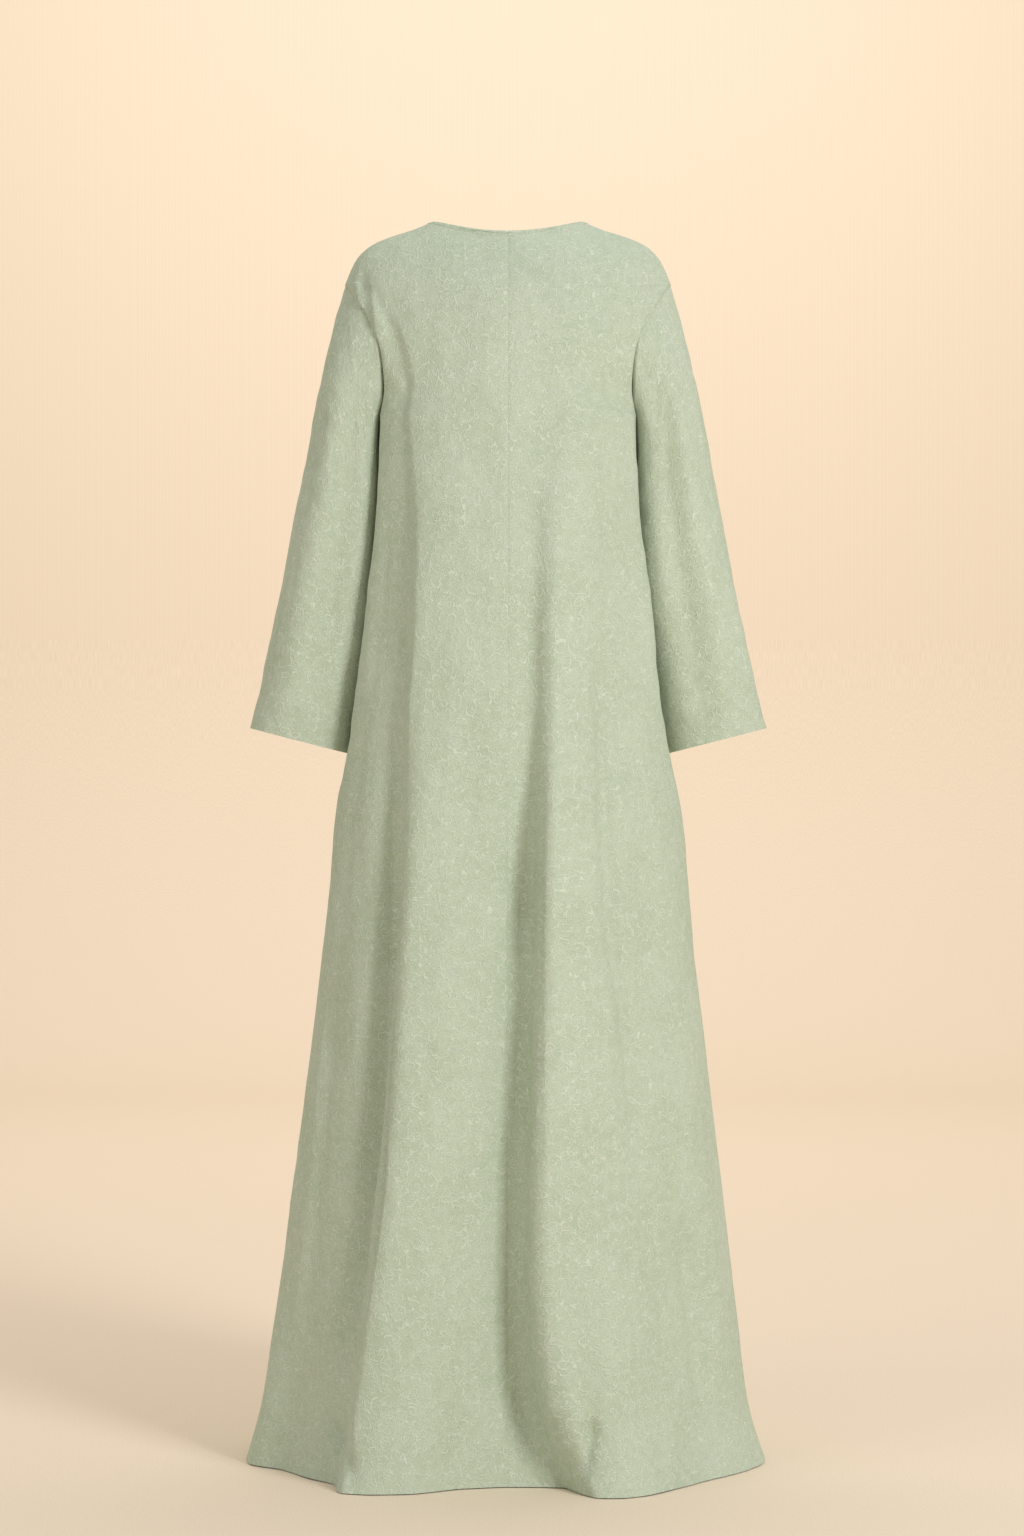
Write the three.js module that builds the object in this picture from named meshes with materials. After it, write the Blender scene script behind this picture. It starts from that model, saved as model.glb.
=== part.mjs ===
// Long-sleeved prayer dress in crinkled crepe, standing hollow in its worn form.
// Millimetres, +Z up, front towards -Y, wearer's left towards +X.
// The origin is the centre of the neck opening, level with the two neck-shoulder points.
import * as THREE from "three";

// Cloth and making
const WALL = 1.8; // wall of a single panel
const SEAM_GAP = 0.3; // clearance between two pieces at a seam
const ARMHOLE_GAP = 0.4; // clearance between body and sleeve, whose edges curve
const HEM_TURN = 9; // height of the turned hem
const HEM_STEP = 1.2; // height over which the wall thickens into the hem
const HEM_WALL = 2.6; // wall where the hem is turned
const BINDING_WIDTH = 8; // height of the neck binding
const BINDING_WALL = 2.8; // wall of the folded binding
const BINDING_PROUD = 0.5; // how far the binding stands out of the panels
const CUFF_WALL = 2.6; // wall of the doubled cuff
const CUFF_PROUD = 0.4; // how far the cuff stands out of the sleeve

// Main sizes
const LENGTH = 1481; // neck-shoulder point to hem
const UNDERARM_DOWN = 235; // neck-shoulder point to underarm
const ARMHOLE_BLEND = 2.2; // sleeve stations over which the armhole's form fades out

// Shoulder seam from the neck to the armhole: station, across, back and up
const SHOULDER_SEAM = [
  { station: 0, x: 90, y: 0, z: 0 },
  { station: 0.05, x: 96.5, y: 0, z: -2.8 },
  { station: 0.17, x: 113.5, y: -1, z: -9.6 },
  { station: 0.34, x: 136.5, y: -2, z: -16.8 },
  { station: 0.49, x: 155.5, y: -3, z: -24 },
  { station: 0.6, x: 168.3, y: -4, z: -31.2 },
  { station: 0.69, x: 176.3, y: -4.5, z: -38.4 },
  { station: 0.76, x: 182.1, y: -5, z: -45.6 },
  { station: 0.88, x: 189.3, y: -5, z: -60 },
  { station: 1, x: 195.5, y: -5, z: -76 },
];

const SHOULDER_BACK = -5; // shoulder point, measured backwards from the neck-shoulder points

// Left armhole seam, every 45 degrees from the shoulder, by way of the back
const ARMHOLE = [
  { name: "shoulder", x: 195.5, y: -5, z: -76 },
  { name: "back upper", x: 177.5, y: 42, z: -105 },
  { name: "back middle", x: 155, y: 63, z: -144 },
  { name: "back lower", x: 147.5, y: 50, z: -198 },
  { name: "underarm", x: 151, y: 0, z: -235 },
  { name: "front lower", x: 148.5, y: -53, z: -198 },
  { name: "front middle", x: 157, y: -67, z: -147 },
  { name: "front upper", x: 179, y: -47, z: -105 },
];

// Rings above the underarm: centre line of the back and of the front, fullness of the plan.
// Station 0 is the neck, 1 the shoulder point and 2 the underarm.
const YOKE = [
  { station: 0, backY: 52, backZ: -17.5, frontY: -78, frontZ: -88, fullness: 1 },
  { station: 0.5, backY: 78, backZ: -52, frontY: -92, frontZ: -112, fullness: 1.08 },
  { station: 1, backY: 100, backZ: -96, frontY: -107, frontZ: -142, fullness: 1.12 },
  { station: 1.25, backY: 107, backZ: -126, frontY: -114, frontZ: -162, fullness: 1.02 },
  { station: 1.5, backY: 112.5, backZ: -160, frontY: -121, frontZ: -184, fullness: 0.86 },
  { station: 1.75, backY: 117, backZ: -196, frontY: -127, frontZ: -209, fullness: 0.68 },
  { station: 2, backY: 121, backZ: -235, frontY: -131, frontZ: -235, fullness: 0.57 },
];
const EDGE_POWER = 2.5; // how close to its end a row gives way to the armhole

// Level sections below the underarm: half widths, depths and fullness of the plan
const SECTIONS = [
  { down: 235, left: 151, right: 151, back: 121, front: 131, fullness: 0.57 },
  { down: 350, left: 148.5, right: 149, back: 136, front: 145, fullness: 0.62 },
  { down: 454, left: 156, right: 156.5, back: 148, front: 152, fullness: 0.7 },
  { down: 560, left: 172, right: 171, back: 158, front: 160, fullness: 0.78 },
  { down: 646, left: 188, right: 188.5, back: 165, front: 166, fullness: 0.84 },
  { down: 694, left: 199.5, right: 200, back: 169, front: 170, fullness: 0.87 },
  { down: 790, left: 211.7, right: 213, back: 176, front: 177, fullness: 0.92 },
  { down: 886, left: 223.3, right: 223.4, back: 182.5, front: 183, fullness: 0.97 },
  { down: 1030, left: 241.1, right: 241.2, back: 190.5, front: 190.5, fullness: 1 },
  { down: 1174, left: 259.4, right: 258.7, back: 198.5, front: 198.5, fullness: 1 },
  { down: 1318, left: 280.4, right: 275, back: 206, front: 206, fullness: 1 },
  { down: 1414, left: 295.4, right: 287.8, back: 211, front: 212, fullness: 1 },
  { down: 1462, left: 308, right: 301.3, back: 214.5, front: 216, fullness: 1 },
  { down: 1481, left: 313.5, right: 308, back: 216, front: 218, fullness: 1 },
];

// Fold lines, each a ridge or a hollow running down a face. The angle is measured from the
// centre line, positive to the wearer's left, and out is how far the cloth stands off the
// plain section, both at each of these levels. Cells is the number of strips between the
// line and the next.
const FOLD_LEVELS = [100, 235, 454, 694, 934, 1234, 1440, 1481];
const BACK_FOLDS = [
  {
    name: "left side seam", cells: 1,
    angle: [90, 90, 90, 90, 90, 90, 90, 90],
    out: [0, 0, 0, 0, 0, 0, 0, 0],
  },
  {
    name: "left side edge", cells: 2,
    angle: [78, 78, 78, 78, 78, 78, 78, 78],
    out: [0, 1.5, 15.2, 6.7, 1, 0, 0, 0],
  },
  {
    name: "left hollow", cells: 3,
    angle: [68, 68, 65, 63, 62, 62.5, 64, 65],
    out: [0, 0, -2, -5, -8, -13, -18, -19.5],
  },
  {
    name: "flute one foot", cells: 2,
    angle: [62, 58, 52, 47, 43, 41, 40.5, 40],
    out: [0, -1, -3, -4, -5, -3, 0, 2],
  },
  {
    name: "flute one crest", cells: 3,
    angle: [50, 47, 39.5, 36, 32.5, 31.5, 32.5, 32.6],
    out: [0, 3, 8, 13, 21, 33, 42, 45],
  },
  {
    name: "flute one plane", cells: 3,
    angle: [30, 28, 24, 22, 21, 20, 20, 20],
    out: [0, 2, 3, 6, 11, 17, 23, 24],
  },
  {
    name: "flute one heel", cells: 2,
    angle: [14, 14, 12, 10.5, 9.5, 9.5, 9.5, 9.5],
    out: [0, 0, -1.5, -4, -7, -13, -18, -19],
  },
  {
    name: "centre back seam", cells: 2,
    angle: [0, 0, 0, 0, 0, 0, 0, 0],
    out: [0, 0, -3, -6.5, -11, -18, -28, -30],
  },
  {
    name: "flute two foot", cells: 2,
    angle: [-8, -10, -8, -4, -3, -4, -10.5, -12.2],
    out: [0, 0, -2.5, -5.5, -9.5, -15, -20, -21.5],
  },
  {
    name: "flute two edge", cells: 2,
    angle: [-16, -20, -17, -11, -10, -11.5, -16, -17.5],
    out: [0, 1, 2.5, 3.5, 6, 16, 38, 43],
  },
  {
    name: "flute two crest", cells: 2,
    angle: [-30, -31, -29, -25, -23, -22, -22.5, -23],
    out: [0, 3, 7, 11.5, 18, 32, 48, 51],
  },
  {
    name: "flute two slope", cells: 2,
    angle: [-40, -42, -40, -36, -34, -34, -36, -37],
    out: [0, 1.5, 3.5, 6, 9, 15, 21, 22],
  },
  {
    name: "flute two toe", cells: 2,
    angle: [-50, -52, -50, -48, -48, -49, -51, -52],
    out: [0, -1, -2, -2, -2, -1, 0.5, 1],
  },
  {
    name: "right ridge", cells: 2,
    angle: [-66, -66, -66, -62, -62, -64, -68, -69],
    out: [0, 1, 2, 3, 2.5, 1, -1, -1],
  },
  {
    name: "right side edge", cells: 1,
    angle: [-78, -78, -78, -78, -78, -78, -78, -78],
    out: [0, 1.5, 15.2, 6.7, 1, 0, 0, 0],
  },
  {
    name: "right side seam", cells: 0,
    angle: [-90, -90, -90, -90, -90, -90, -90, -90],
    out: [0, 0, 0, 0, 0, 0, 0, 0],
  },
];
const FRONT_FOLDS = [
  {
    name: "right side seam", cells: 1,
    angle: [-90, -90, -90, -90, -90, -90, -90, -90],
    out: [0, 0, 0, 0, 0, 0, 0, 0],
  },
  {
    name: "right side edge", cells: 2,
    angle: [-79, -79, -79, -79, -79, -79, -79, -79],
    out: [0, 1, 3, 1.5, 0, 0, 0, 0],
  },
  {
    name: "right hollow", cells: 4,
    angle: [-68, -68, -67, -66, -65, -64, -64, -64],
    out: [0, 0, -2, -3, -5, -8, -11, -12],
  },
  {
    name: "right flute", cells: 4,
    angle: [-44, -44, -42, -40, -38, -37, -38, -38],
    out: [0, 2, 5, 10, 17, 28, 38, 41],
  },
  {
    name: "right of centre hollow", cells: 4,
    angle: [-16, -17, -17, -17, -17, -16, -15, -15],
    out: [0, 0, -3, -6, -10, -15, -20, -22],
  },
  {
    name: "centre flute", cells: 4,
    angle: [6, 6, 7, 8, 8, 7, 6, 6],
    out: [0, 1, 3, 6, 11, 20, 29, 31],
  },
  {
    name: "left of centre hollow", cells: 4,
    angle: [24, 25, 26, 27, 28, 28, 28, 28],
    out: [0, -1, -3, -5, -8, -12, -16, -17],
  },
  {
    name: "left flute", cells: 4,
    angle: [48, 48, 48, 48, 49, 50, 51, 51],
    out: [0, 2, 5, 9, 15, 25, 34, 36],
  },
  {
    name: "left hollow", cells: 2,
    angle: [70, 70, 70, 70, 71, 72, 73, 73],
    out: [0, 0, -1, -2, -3, -5, -7, -8],
  },
  {
    name: "left side edge", cells: 1,
    angle: [80, 80, 80, 80, 80, 80, 80, 80],
    out: [0, 1, 3, 1.5, 0, 0, 0, 0],
  },
  {
    name: "left side seam", cells: 0,
    angle: [90, 90, 90, 90, 90, 90, 90, 90],
    out: [0, 0, 0, 0, 0, 0, 0, 0],
  },
];

// Heights of the panels' rows: stations above the shoulder point, then distances down
const YOKE_ROWS = [0.3, 0.62, 0.84, 1];
const SKIRT_ROWS = [
  285, 340, 400, 465, 535, 610, 690, 770, 850, 930, 1010, 1090, 1165, 1235, 1300, 1355, 1400, 1438,
];

// Left sleeve from the armhole to the cuff edge: the outer line, the line beside the body,
// the middle of the depth and half of it
const SLEEVE = [
  { name: "armhole", outX: 195.5, outZ: -76, inX: 151, inZ: -235, y: -2, half: 62 },
  { name: "cap", outX: 209.2, outZ: -122, inX: 153.6, inZ: -262, y: -4, half: 62.5 },
  { name: "biceps", outX: 221.5, outZ: -178, inX: 152.2, inZ: -295, y: -6, half: 63 },
  { name: "upper arm", outX: 234, outZ: -238, inX: 151.6, inZ: -335, y: -9, half: 63 },
  { name: "above elbow", outX: 247.7, outZ: -308, inX: 153.4, inZ: -388, y: -12, half: 62.5 },
  { name: "elbow", outX: 263.7, outZ: -388, inX: 158.6, inZ: -450, y: -16, half: 62 },
  { name: "forearm", outX: 281.1, outZ: -478, inX: 168.8, inZ: -520, y: -21, half: 61.5 },
  { name: "cuff seam", outX: 299, outZ: -567, inX: 182.6, inZ: -597, y: -25, half: 61 },
  { name: "cuff edge", outX: 308.5, outZ: -607.5, inX: 190, inZ: -638, y: -28, half: 61.5 },
];
const SLEEVE_FLATNESS = 0.6; // 1 is an ellipse, and less is flatter at the back and the front
const CAP = 1; // station where the folds start
const ELBOW = 4.5; // station where the folds are deepest
const CUFF_SEAM = SLEEVE.length - 2; // station of the seam between sleeve and cuff
const CUFF_EDGE = SLEEVE.length - 1; // station of the open edge
const SLEEVE_ROWS = [0.35, 0.7, 1.05, 1.45, 1.9, 2.4, 3, 3.6, 4.2, 4.8, 5.4, 6, 6.5];
const CUFF_ROWS = [1 / 3, 2 / 3];
// Long folds of a sleeve. The angle starts at the outer line and passes the back.
const SLEEVE_FOLDS = [
  { name: "outer line", cells: 2, angle: 0, armhole: 0, elbow: 0, cuff: 0 },
  { name: "outer back hollow", cells: 2, angle: 38, armhole: 0, elbow: -1, cuff: -1 },
  { name: "outer back fold", cells: 2, angle: 68, armhole: 1, elbow: 4, cuff: 1.5 },
  { name: "back hollow", cells: 2, angle: 97, armhole: -1, elbow: -4, cuff: -2 },
  { name: "inner back fold", cells: 3, angle: 122, armhole: 1, elbow: 3, cuff: 1.5 },
  { name: "inner line", cells: 2, angle: 180, armhole: 0, elbow: -1, cuff: 0 },
  { name: "inner front fold", cells: 2, angle: 222, armhole: 0, elbow: 2, cuff: 1 },
  { name: "front hollow", cells: 2, angle: 256, armhole: -1, elbow: -4, cuff: -2 },
  { name: "outer front fold", cells: 3, angle: 292, armhole: 1, elbow: 3.5, cuff: 1.5 },
];

const DEGREE = Math.PI / 180;
const BACK = 1;
const FRONT = -1;
const TINY = 1e-6; // allowance when two numbers are compared

// Steps used to measure directions on the cloth
const NORMAL_STEP_ANGLE = 1.5; // degrees either side, on a panel
const NORMAL_STEP_STATION = 0.01; // stations either side, on a panel
const NECK_STEP_STATION = 0.08; // stations below the neck edge
const SLEEVE_STEP_TURN = 4; // degrees either side, on a sleeve
const SLEEVE_STEP_STATION = 0.1; // stations either side, on a sleeve
const SEAM_STEP_TURN = 2; // degrees either side, along the armhole seam
const SEAM_STEP_SLEEVE = 0.15; // stations from the armhole seam into the sleeve

// ---------------------------------------------------------------- small helpers
const add = (a, b) => [a[0] + b[0], a[1] + b[1], a[2] + b[2]];
const subtract = (a, b) => [a[0] - b[0], a[1] - b[1], a[2] - b[2]];
const times = (a, k) => [a[0] * k, a[1] * k, a[2] * k];
const cross = (a, b) => [
  a[1] * b[2] - a[2] * b[1],
  a[2] * b[0] - a[0] * b[2],
  a[0] * b[1] - a[1] * b[0],
];
const unit = (a) => times(a, 1 / Math.hypot(...a));
const ramp = (x) => {
  const k = Math.min(1, Math.max(0, x));
  return k * k * (3 - 2 * k);
};

// Slopes for a smooth curve through points that never overshoots them.
function slopesOf(xs, ys) {
  const n = xs.length;
  const step = [];
  for (let i = 0; i < n - 1; i += 1) {
    step.push((ys[i + 1] - ys[i]) / (xs[i + 1] - xs[i]));
  }
  const slopes = [step[0]];
  for (let i = 1; i < n - 1; i += 1) {
    const a = step[i - 1];
    const b = step[i];
    if (a * b <= 0) {
      slopes.push(0);
    } else {
      const h0 = xs[i] - xs[i - 1];
      const h1 = xs[i + 1] - xs[i];
      slopes.push((3 * (h0 + h1)) / ((2 * h1 + h0) / a + (h1 + 2 * h0) / b));
    }
  }
  slopes.push(step[n - 2]);
  return slopes;
}

// Value at x of the smooth curve through the points, held at the end values outside them.
function smoothAt(xs, ys, x, slopes = slopesOf(xs, ys)) {
  const n = xs.length;
  if (x <= xs[0]) return ys[0];
  if (x >= xs[n - 1]) return ys[n - 1];
  let i = 0;
  while (x > xs[i + 1]) i += 1;
  const h = xs[i + 1] - xs[i];
  const k = (x - xs[i]) / h;
  const k2 = k * k;
  const k3 = k2 * k;
  return (
    ys[i] * (2 * k3 - 3 * k2 + 1) +
    slopes[i] * h * (k3 - 2 * k2 + k) +
    ys[i + 1] * (3 * k2 - 2 * k3) +
    slopes[i + 1] * h * (k3 - k2)
  );
}

const column = (table, name) => table.map((row) => row[name]);
const lookup = (table, key, name, x) => smoothAt(column(table, key), column(table, name), x);

// ---------------------------------------------------------------- body panels
// Point of the left armhole seam; turn 0 is the shoulder, 90 the back, -90 the front.
function armholePoint(turn) {
  const n = ARMHOLE.length;
  const place = ((((turn * n) / 360) % n) + n) % n;
  const i = Math.floor(place);
  const k = place - i;
  const row = (j) => ARMHOLE[(((i + j) % n) + n) % n];
  const through = (name) => {
    const [a, b, c, d] = [-1, 0, 1, 2].map((j) => row(j)[name]);
    return (
      b + 0.5 * k * (c - a + k * (2 * a - 5 * b + 4 * c - d + k * (3 * (b - c) + d - a)))
    );
  };
  return [through("x"), through("y"), through("z")];
}

const stationOfDown = (down) => 2 + (down - UNDERARM_DOWN) / (LENGTH - UNDERARM_DOWN);
const downOfStation = (s) => UNDERARM_DOWN + (s - 2) * (LENGTH - UNDERARM_DOWN);

// Where a row of a face ends: on the shoulder seam, the armhole or the side seam.
function edgePoint(face, side, s) {
  if (s <= 1) {
    const at = (name) => lookup(SHOULDER_SEAM, "station", name, s);
    return [at("x"), at("y"), at("z")];
  }
  if (s <= 2) return armholePoint(face * 180 * (s - 1));
  const down = downOfStation(s);
  return [lookup(SECTIONS, "down", side > 0 ? "left" : "right", down), 0, -down];
}

// Middle of a row of a face, and how full its plan is.
function centrePoint(face, s) {
  if (s <= 2) {
    const at = (name) => lookup(YOKE, "station", name, s);
    const [y, z] = face === BACK ? ["backY", "backZ"] : ["frontY", "frontZ"];
    return { y: at(y), z: at(z), fullness: at("fullness") };
  }
  const down = downOfStation(s);
  const depth = lookup(SECTIONS, "down", face === BACK ? "back" : "front", down);
  return { y: face * depth, z: -down, fullness: lookup(SECTIONS, "down", "fullness", down) };
}

// Angles and standing-off of a face's fold lines at a row.
function foldLines(face, s) {
  const folds = face === BACK ? BACK_FOLDS : FRONT_FOLDS;
  const yokeDown = FOLD_LEVELS[0] + ((FOLD_LEVELS[1] - FOLD_LEVELS[0]) * s) / 2;
  const down = s <= 2 ? yokeDown : downOfStation(s);
  return folds.map((fold) => ({
    angle: smoothAt(FOLD_LEVELS, fold.angle, down),
    out: smoothAt(FOLD_LEVELS, fold.out, down),
  }));
}

// How far the folds stand off the plain section at an angle of a row.
function foldAt(lines, angle) {
  const order = lines[0].angle < lines[lines.length - 1].angle ? lines : [...lines].reverse();
  return smoothAt(column(order, "angle"), column(order, "out"), angle);
}

// Outer surface of a face at an angle of a row.
function panelPoint(face, angle, s) {
  const side = angle < 0 ? -1 : 1;
  const edge = edgePoint(face, side, s);
  const centre = centrePoint(face, s);
  // The ring whose plan passes through the row's end.
  const middle = s > 1 && s < 2 ? SHOULDER_BACK * (2 - s) : edge[1];
  const reach = Math.max(0, (edge[1] - middle) / (centre.y - middle));
  const endCos = reach ** (1 / centre.fullness);
  const half = edge[0] / Math.sqrt(1 - endCos * endCos);
  const short = 90 - Math.acos(endCos) / DEGREE;
  const turn = Math.abs(angle) - short * (Math.abs(angle) / 90) ** EDGE_POWER;
  const sin = Math.sin(turn * DEGREE);
  const cos = Math.max(0, Math.cos(turn * DEGREE));
  const plain = [
    side * half * sin,
    middle + (centre.y - middle) * cos ** centre.fullness,
    centre.z + (edge[2] - centre.z) * ((half * sin) / edge[0]) ** 2,
  ];
  const out = foldAt(foldLines(face, s), angle);
  const away = unit([(side * sin) / half, cos / (centre.y - middle), 0]);
  return add(plain, times(away, out));
}

// Outward normal of a face at an angle of a row.
function panelNormal(face, angle, s) {
  const a0 = Math.max(-90, angle - NORMAL_STEP_ANGLE);
  const a1 = Math.min(90, angle + NORMAL_STEP_ANGLE);
  const s0 = Math.max(0, s - NORMAL_STEP_STATION);
  const s1 = Math.min(3, s + NORMAL_STEP_STATION);
  const across = subtract(panelPoint(face, a0, s), panelPoint(face, a1, s));
  const down = subtract(panelPoint(face, angle, s1), panelPoint(face, angle, s0));
  const normal = times(cross(down, across), face);
  if (Math.abs(angle) > 90 - TINY && (s <= 1 || s >= 2)) normal[1] = 0;
  return unit(normal);
}

// Direction from the neck edge into a panel.
const neckFall = (face, angle) =>
  unit(subtract(panelPoint(face, angle, NECK_STEP_STATION), panelPoint(face, angle, 0)));

// Fold line places of a panel's columns, from one line to another.
function columnPlaces(folds, first, last) {
  const places = [];
  for (let i = first; i < last; i += 1) {
    for (let j = 0; j < folds[i].cells; j += 1) places.push(i + j / folds[i].cells);
  }
  places.push(last);
  return places;
}

// Angle of a place between fold lines.
function angleOfPlace(lines, place) {
  const i = Math.min(lines.length - 2, Math.floor(place));
  const k = place - i;
  return lines[i].angle * (1 - k) + lines[i + 1].angle * k;
}

// Stations of a face's rows that end on the armhole, level with the sleeve's own columns.
function armholeStations(face) {
  const turns = sleeveTurns().map((turn) => (face === BACK ? turn : 360 - turn));
  const own = turns.filter((turn) => turn > 0 && turn < 180).sort((a, b) => a - b);
  return [...own, 180].map((turn) => 1 + turn / 180);
}

// A panel between two fold lines: rows of outer and inner points.
function panelRows(face, first, last) {
  const folds = face === BACK ? BACK_FOLDS : FRONT_FOLDS;
  const places = columnPlaces(folds, first, last);
  const hemRows = [LENGTH - HEM_TURN - HEM_STEP, LENGTH - HEM_TURN, LENGTH];
  const skirt = [...SKIRT_ROWS, ...hemRows].map(stationOfDown);
  const stations = [0, ...YOKE_ROWS, ...armholeStations(face), ...skirt];
  const outer = [];
  const inner = [];
  for (const s of stations) {
    const lines = foldLines(face, s);
    const turned = s > stationOfDown(LENGTH - HEM_TURN) - TINY;
    const outerRow = [];
    const innerRow = [];
    for (const place of places) {
      const angle = angleOfPlace(lines, place);
      let point = panelPoint(face, angle, s);
      let normal = panelNormal(face, angle, s);
      if (s === 0) {
        point = add(point, times(neckFall(face, angle), BINDING_WIDTH + SEAM_GAP));
      }
      const onEdge = Math.abs(angle) > 90 - TINY;
      if (onEdge && s >= 1 && s <= 2) {
        const seam = armholeSeam(face * 180 * (s - 1));
        const side = Math.sign(angle);
        normal = [side * seam.normal[0], seam.normal[1], seam.normal[2]];
        const away = times(seam.towardSleeve, -ARMHOLE_GAP / 2);
        point = add(point, [side * away[0], away[1], away[2]]);
      }
      if (onEdge && (s <= 1 || s >= 2)) point[1] += (face * SEAM_GAP) / 2;
      if (place === last && angle === 0) point[0] += SEAM_GAP / 2;
      if (place === first && angle === 0) point[0] -= SEAM_GAP / 2;
      outerRow.push(point);
      innerRow.push(subtract(point, times(normal, turned ? HEM_WALL : WALL)));
    }
    outer.push(outerRow);
    inner.push(innerRow);
  }
  return { outer, inner };
}

// ---------------------------------------------------------------- neck binding
function bindingRows() {
  const outer = [[], []];
  const inner = [[], []];
  const station = (face, angle) => {
    const edge = panelPoint(face, angle, 0);
    const normal = panelNormal(face, angle, 0);
    const lower = add(edge, times(neckFall(face, angle), BINDING_WIDTH));
    outer[0].push(add(edge, times(normal, BINDING_PROUD)));
    outer[1].push(add(lower, times(normal, BINDING_PROUD)));
    inner[0].push(add(edge, times(normal, BINDING_PROUD - BINDING_WALL)));
    inner[1].push(add(lower, times(normal, BINDING_PROUD - BINDING_WALL)));
  };
  for (const face of [BACK, FRONT]) {
    const folds = face === BACK ? BACK_FOLDS : FRONT_FOLDS;
    const lines = foldLines(face, 0);
    const places = columnPlaces(folds, 0, folds.length - 1).slice(0, -1);
    for (const place of places) station(face, angleOfPlace(lines, place));
  }
  return { outer, inner };
}

// ---------------------------------------------------------------- sleeves and cuffs
// Outer surface of the left sleeve; turn 0 is its outer line, 90 its back.
function sleevePoint(turn, station) {
  const cos = Math.cos(turn * DEGREE);
  const sin = Math.sin(turn * DEGREE);
  const flatSin = Math.sign(sin) * Math.abs(sin) ** SLEEVE_FLATNESS;
  const section = (at) => [
    (at("outX") * (1 + cos) + at("inX") * (1 - cos)) / 2,
    at("y") + at("half") * flatSin,
    (at("outZ") * (1 + cos) + at("inZ") * (1 - cos)) / 2,
  ];
  const stations = SLEEVE.map((_, i) => i);
  const here = section((name) => smoothAt(stations, column(SLEEVE, name), station));
  const first = section((name) => SLEEVE[0][name]);
  const seam = subtract(armholePoint(turn), first);
  const rest = 1 - ramp(station / ARMHOLE_BLEND);
  const away = times([cos, sin, 0], sleeveFold(turn, station));
  return add(add(here, times(seam, rest)), away);
}

// How far a sleeve's long folds stand off its plain section.
function sleeveFold(turn, station) {
  const wrapped = ((turn % 360) + 360) % 360;
  const last = SLEEVE_FOLDS[SLEEVE_FOLDS.length - 1];
  const lines = [
    { ...last, angle: last.angle - 360 },
    ...SLEEVE_FOLDS,
    { ...SLEEVE_FOLDS[0], angle: 360 },
    { ...SLEEVE_FOLDS[1], angle: 360 + SLEEVE_FOLDS[1].angle },
  ];
  const heights = [0, CAP, ELBOW, CUFF_SEAM, CUFF_EDGE];
  const outs = lines.map(({ armhole, elbow, cuff }) =>
    smoothAt(heights, [0, armhole, elbow, cuff, 0], station),
  );
  return smoothAt(column(lines, "angle"), outs, wrapped);
}

// Outward normal of the left sleeve.
function sleeveNormal(turn, station) {
  const before = sleevePoint(turn - SLEEVE_STEP_TURN, station);
  const after = sleevePoint(turn + SLEEVE_STEP_TURN, station);
  return unit(cross(sleeveFall(turn, station), subtract(after, before)));
}

// Direction down the left sleeve.
function sleeveFall(turn, station) {
  const above = sleevePoint(turn, Math.max(0, station - SLEEVE_STEP_STATION));
  const below = sleevePoint(turn, Math.min(CUFF_EDGE, station + SLEEVE_STEP_STATION));
  return unit(subtract(below, above));
}

// The armhole seam at a turn: the normal shared by body and sleeve, and the way to the sleeve.
function armholeSeam(turn) {
  const face = Math.sin(turn * DEGREE) < 0 ? FRONT : BACK;
  const onSide = Math.abs(Math.sin(turn * DEGREE)) < TINY;
  const s = 1 + Math.acos(Math.cos(turn * DEGREE)) / DEGREE / 180;
  const before = armholePoint(turn - SEAM_STEP_TURN);
  const after = armholePoint(turn + SEAM_STEP_TURN);
  const along = unit(subtract(after, before));
  const square = (v) => {
    const dot = v[0] * along[0] + v[1] * along[1] + v[2] * along[2];
    return unit(subtract(v, times(along, dot)));
  };
  const here = panelPoint(face, 90, s);
  const atTop = onSide && s < 1.5;
  const beside = panelPoint(face, 90 - 2 * NORMAL_STEP_ANGLE, s);
  const beyond = panelPoint(face, 90, s + (atTop ? -NORMAL_STEP_STATION : NORMAL_STEP_STATION));
  const intoBody = square(subtract(onSide ? beyond : beside, here));
  const intoSleeve = square(subtract(sleevePoint(turn, SEAM_STEP_SLEEVE), here));
  const bodyNormal = cross(intoBody, along);
  const sleeveNormalHere = cross(along, intoSleeve);
  const turned = add(bodyNormal, sleeveNormalHere);
  const valley = add(intoBody, intoSleeve);
  const opens = turned[0] * valley[0] + turned[1] * valley[1] + turned[2] * valley[2];
  const normal = unit(opens > -TINY ? add(turned, valley) : turned);
  return { normal, towardSleeve: unit(cross(normal, along)) };
}

function sleeveTurns() {
  const turns = [];
  SLEEVE_FOLDS.forEach((fold, i) => {
    const next = i + 1 < SLEEVE_FOLDS.length ? SLEEVE_FOLDS[i + 1].angle : 360;
    for (let j = 0; j < fold.cells; j += 1) {
      turns.push(fold.angle + ((next - fold.angle) * j) / fold.cells);
    }
  });
  return turns;
}

// Rings of the left sleeve or cuff at the given stations; shift moves the first ring down.
function tubeRows(stations, wall, proud, shift) {
  const outer = [];
  const inner = [];
  stations.forEach((station, i) => {
    const outerRow = [];
    const innerRow = [];
    for (const turn of sleeveTurns()) {
      let normal = sleeveNormal(turn, station);
      let point = add(sleevePoint(turn, station), times(normal, proud));
      if (i === 0) point = add(point, times(sleeveFall(turn, station), shift));
      if (station === 0) {
        const seam = armholeSeam(turn);
        normal = seam.normal;
        point = add(sleevePoint(turn, 0), times(seam.towardSleeve, ARMHOLE_GAP / 2));
      }
      outerRow.push(point);
      innerRow.push(subtract(point, times(normal, wall)));
    }
    outer.push(outerRow);
    inner.push(innerRow);
  });
  return { outer, inner };
}

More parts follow.
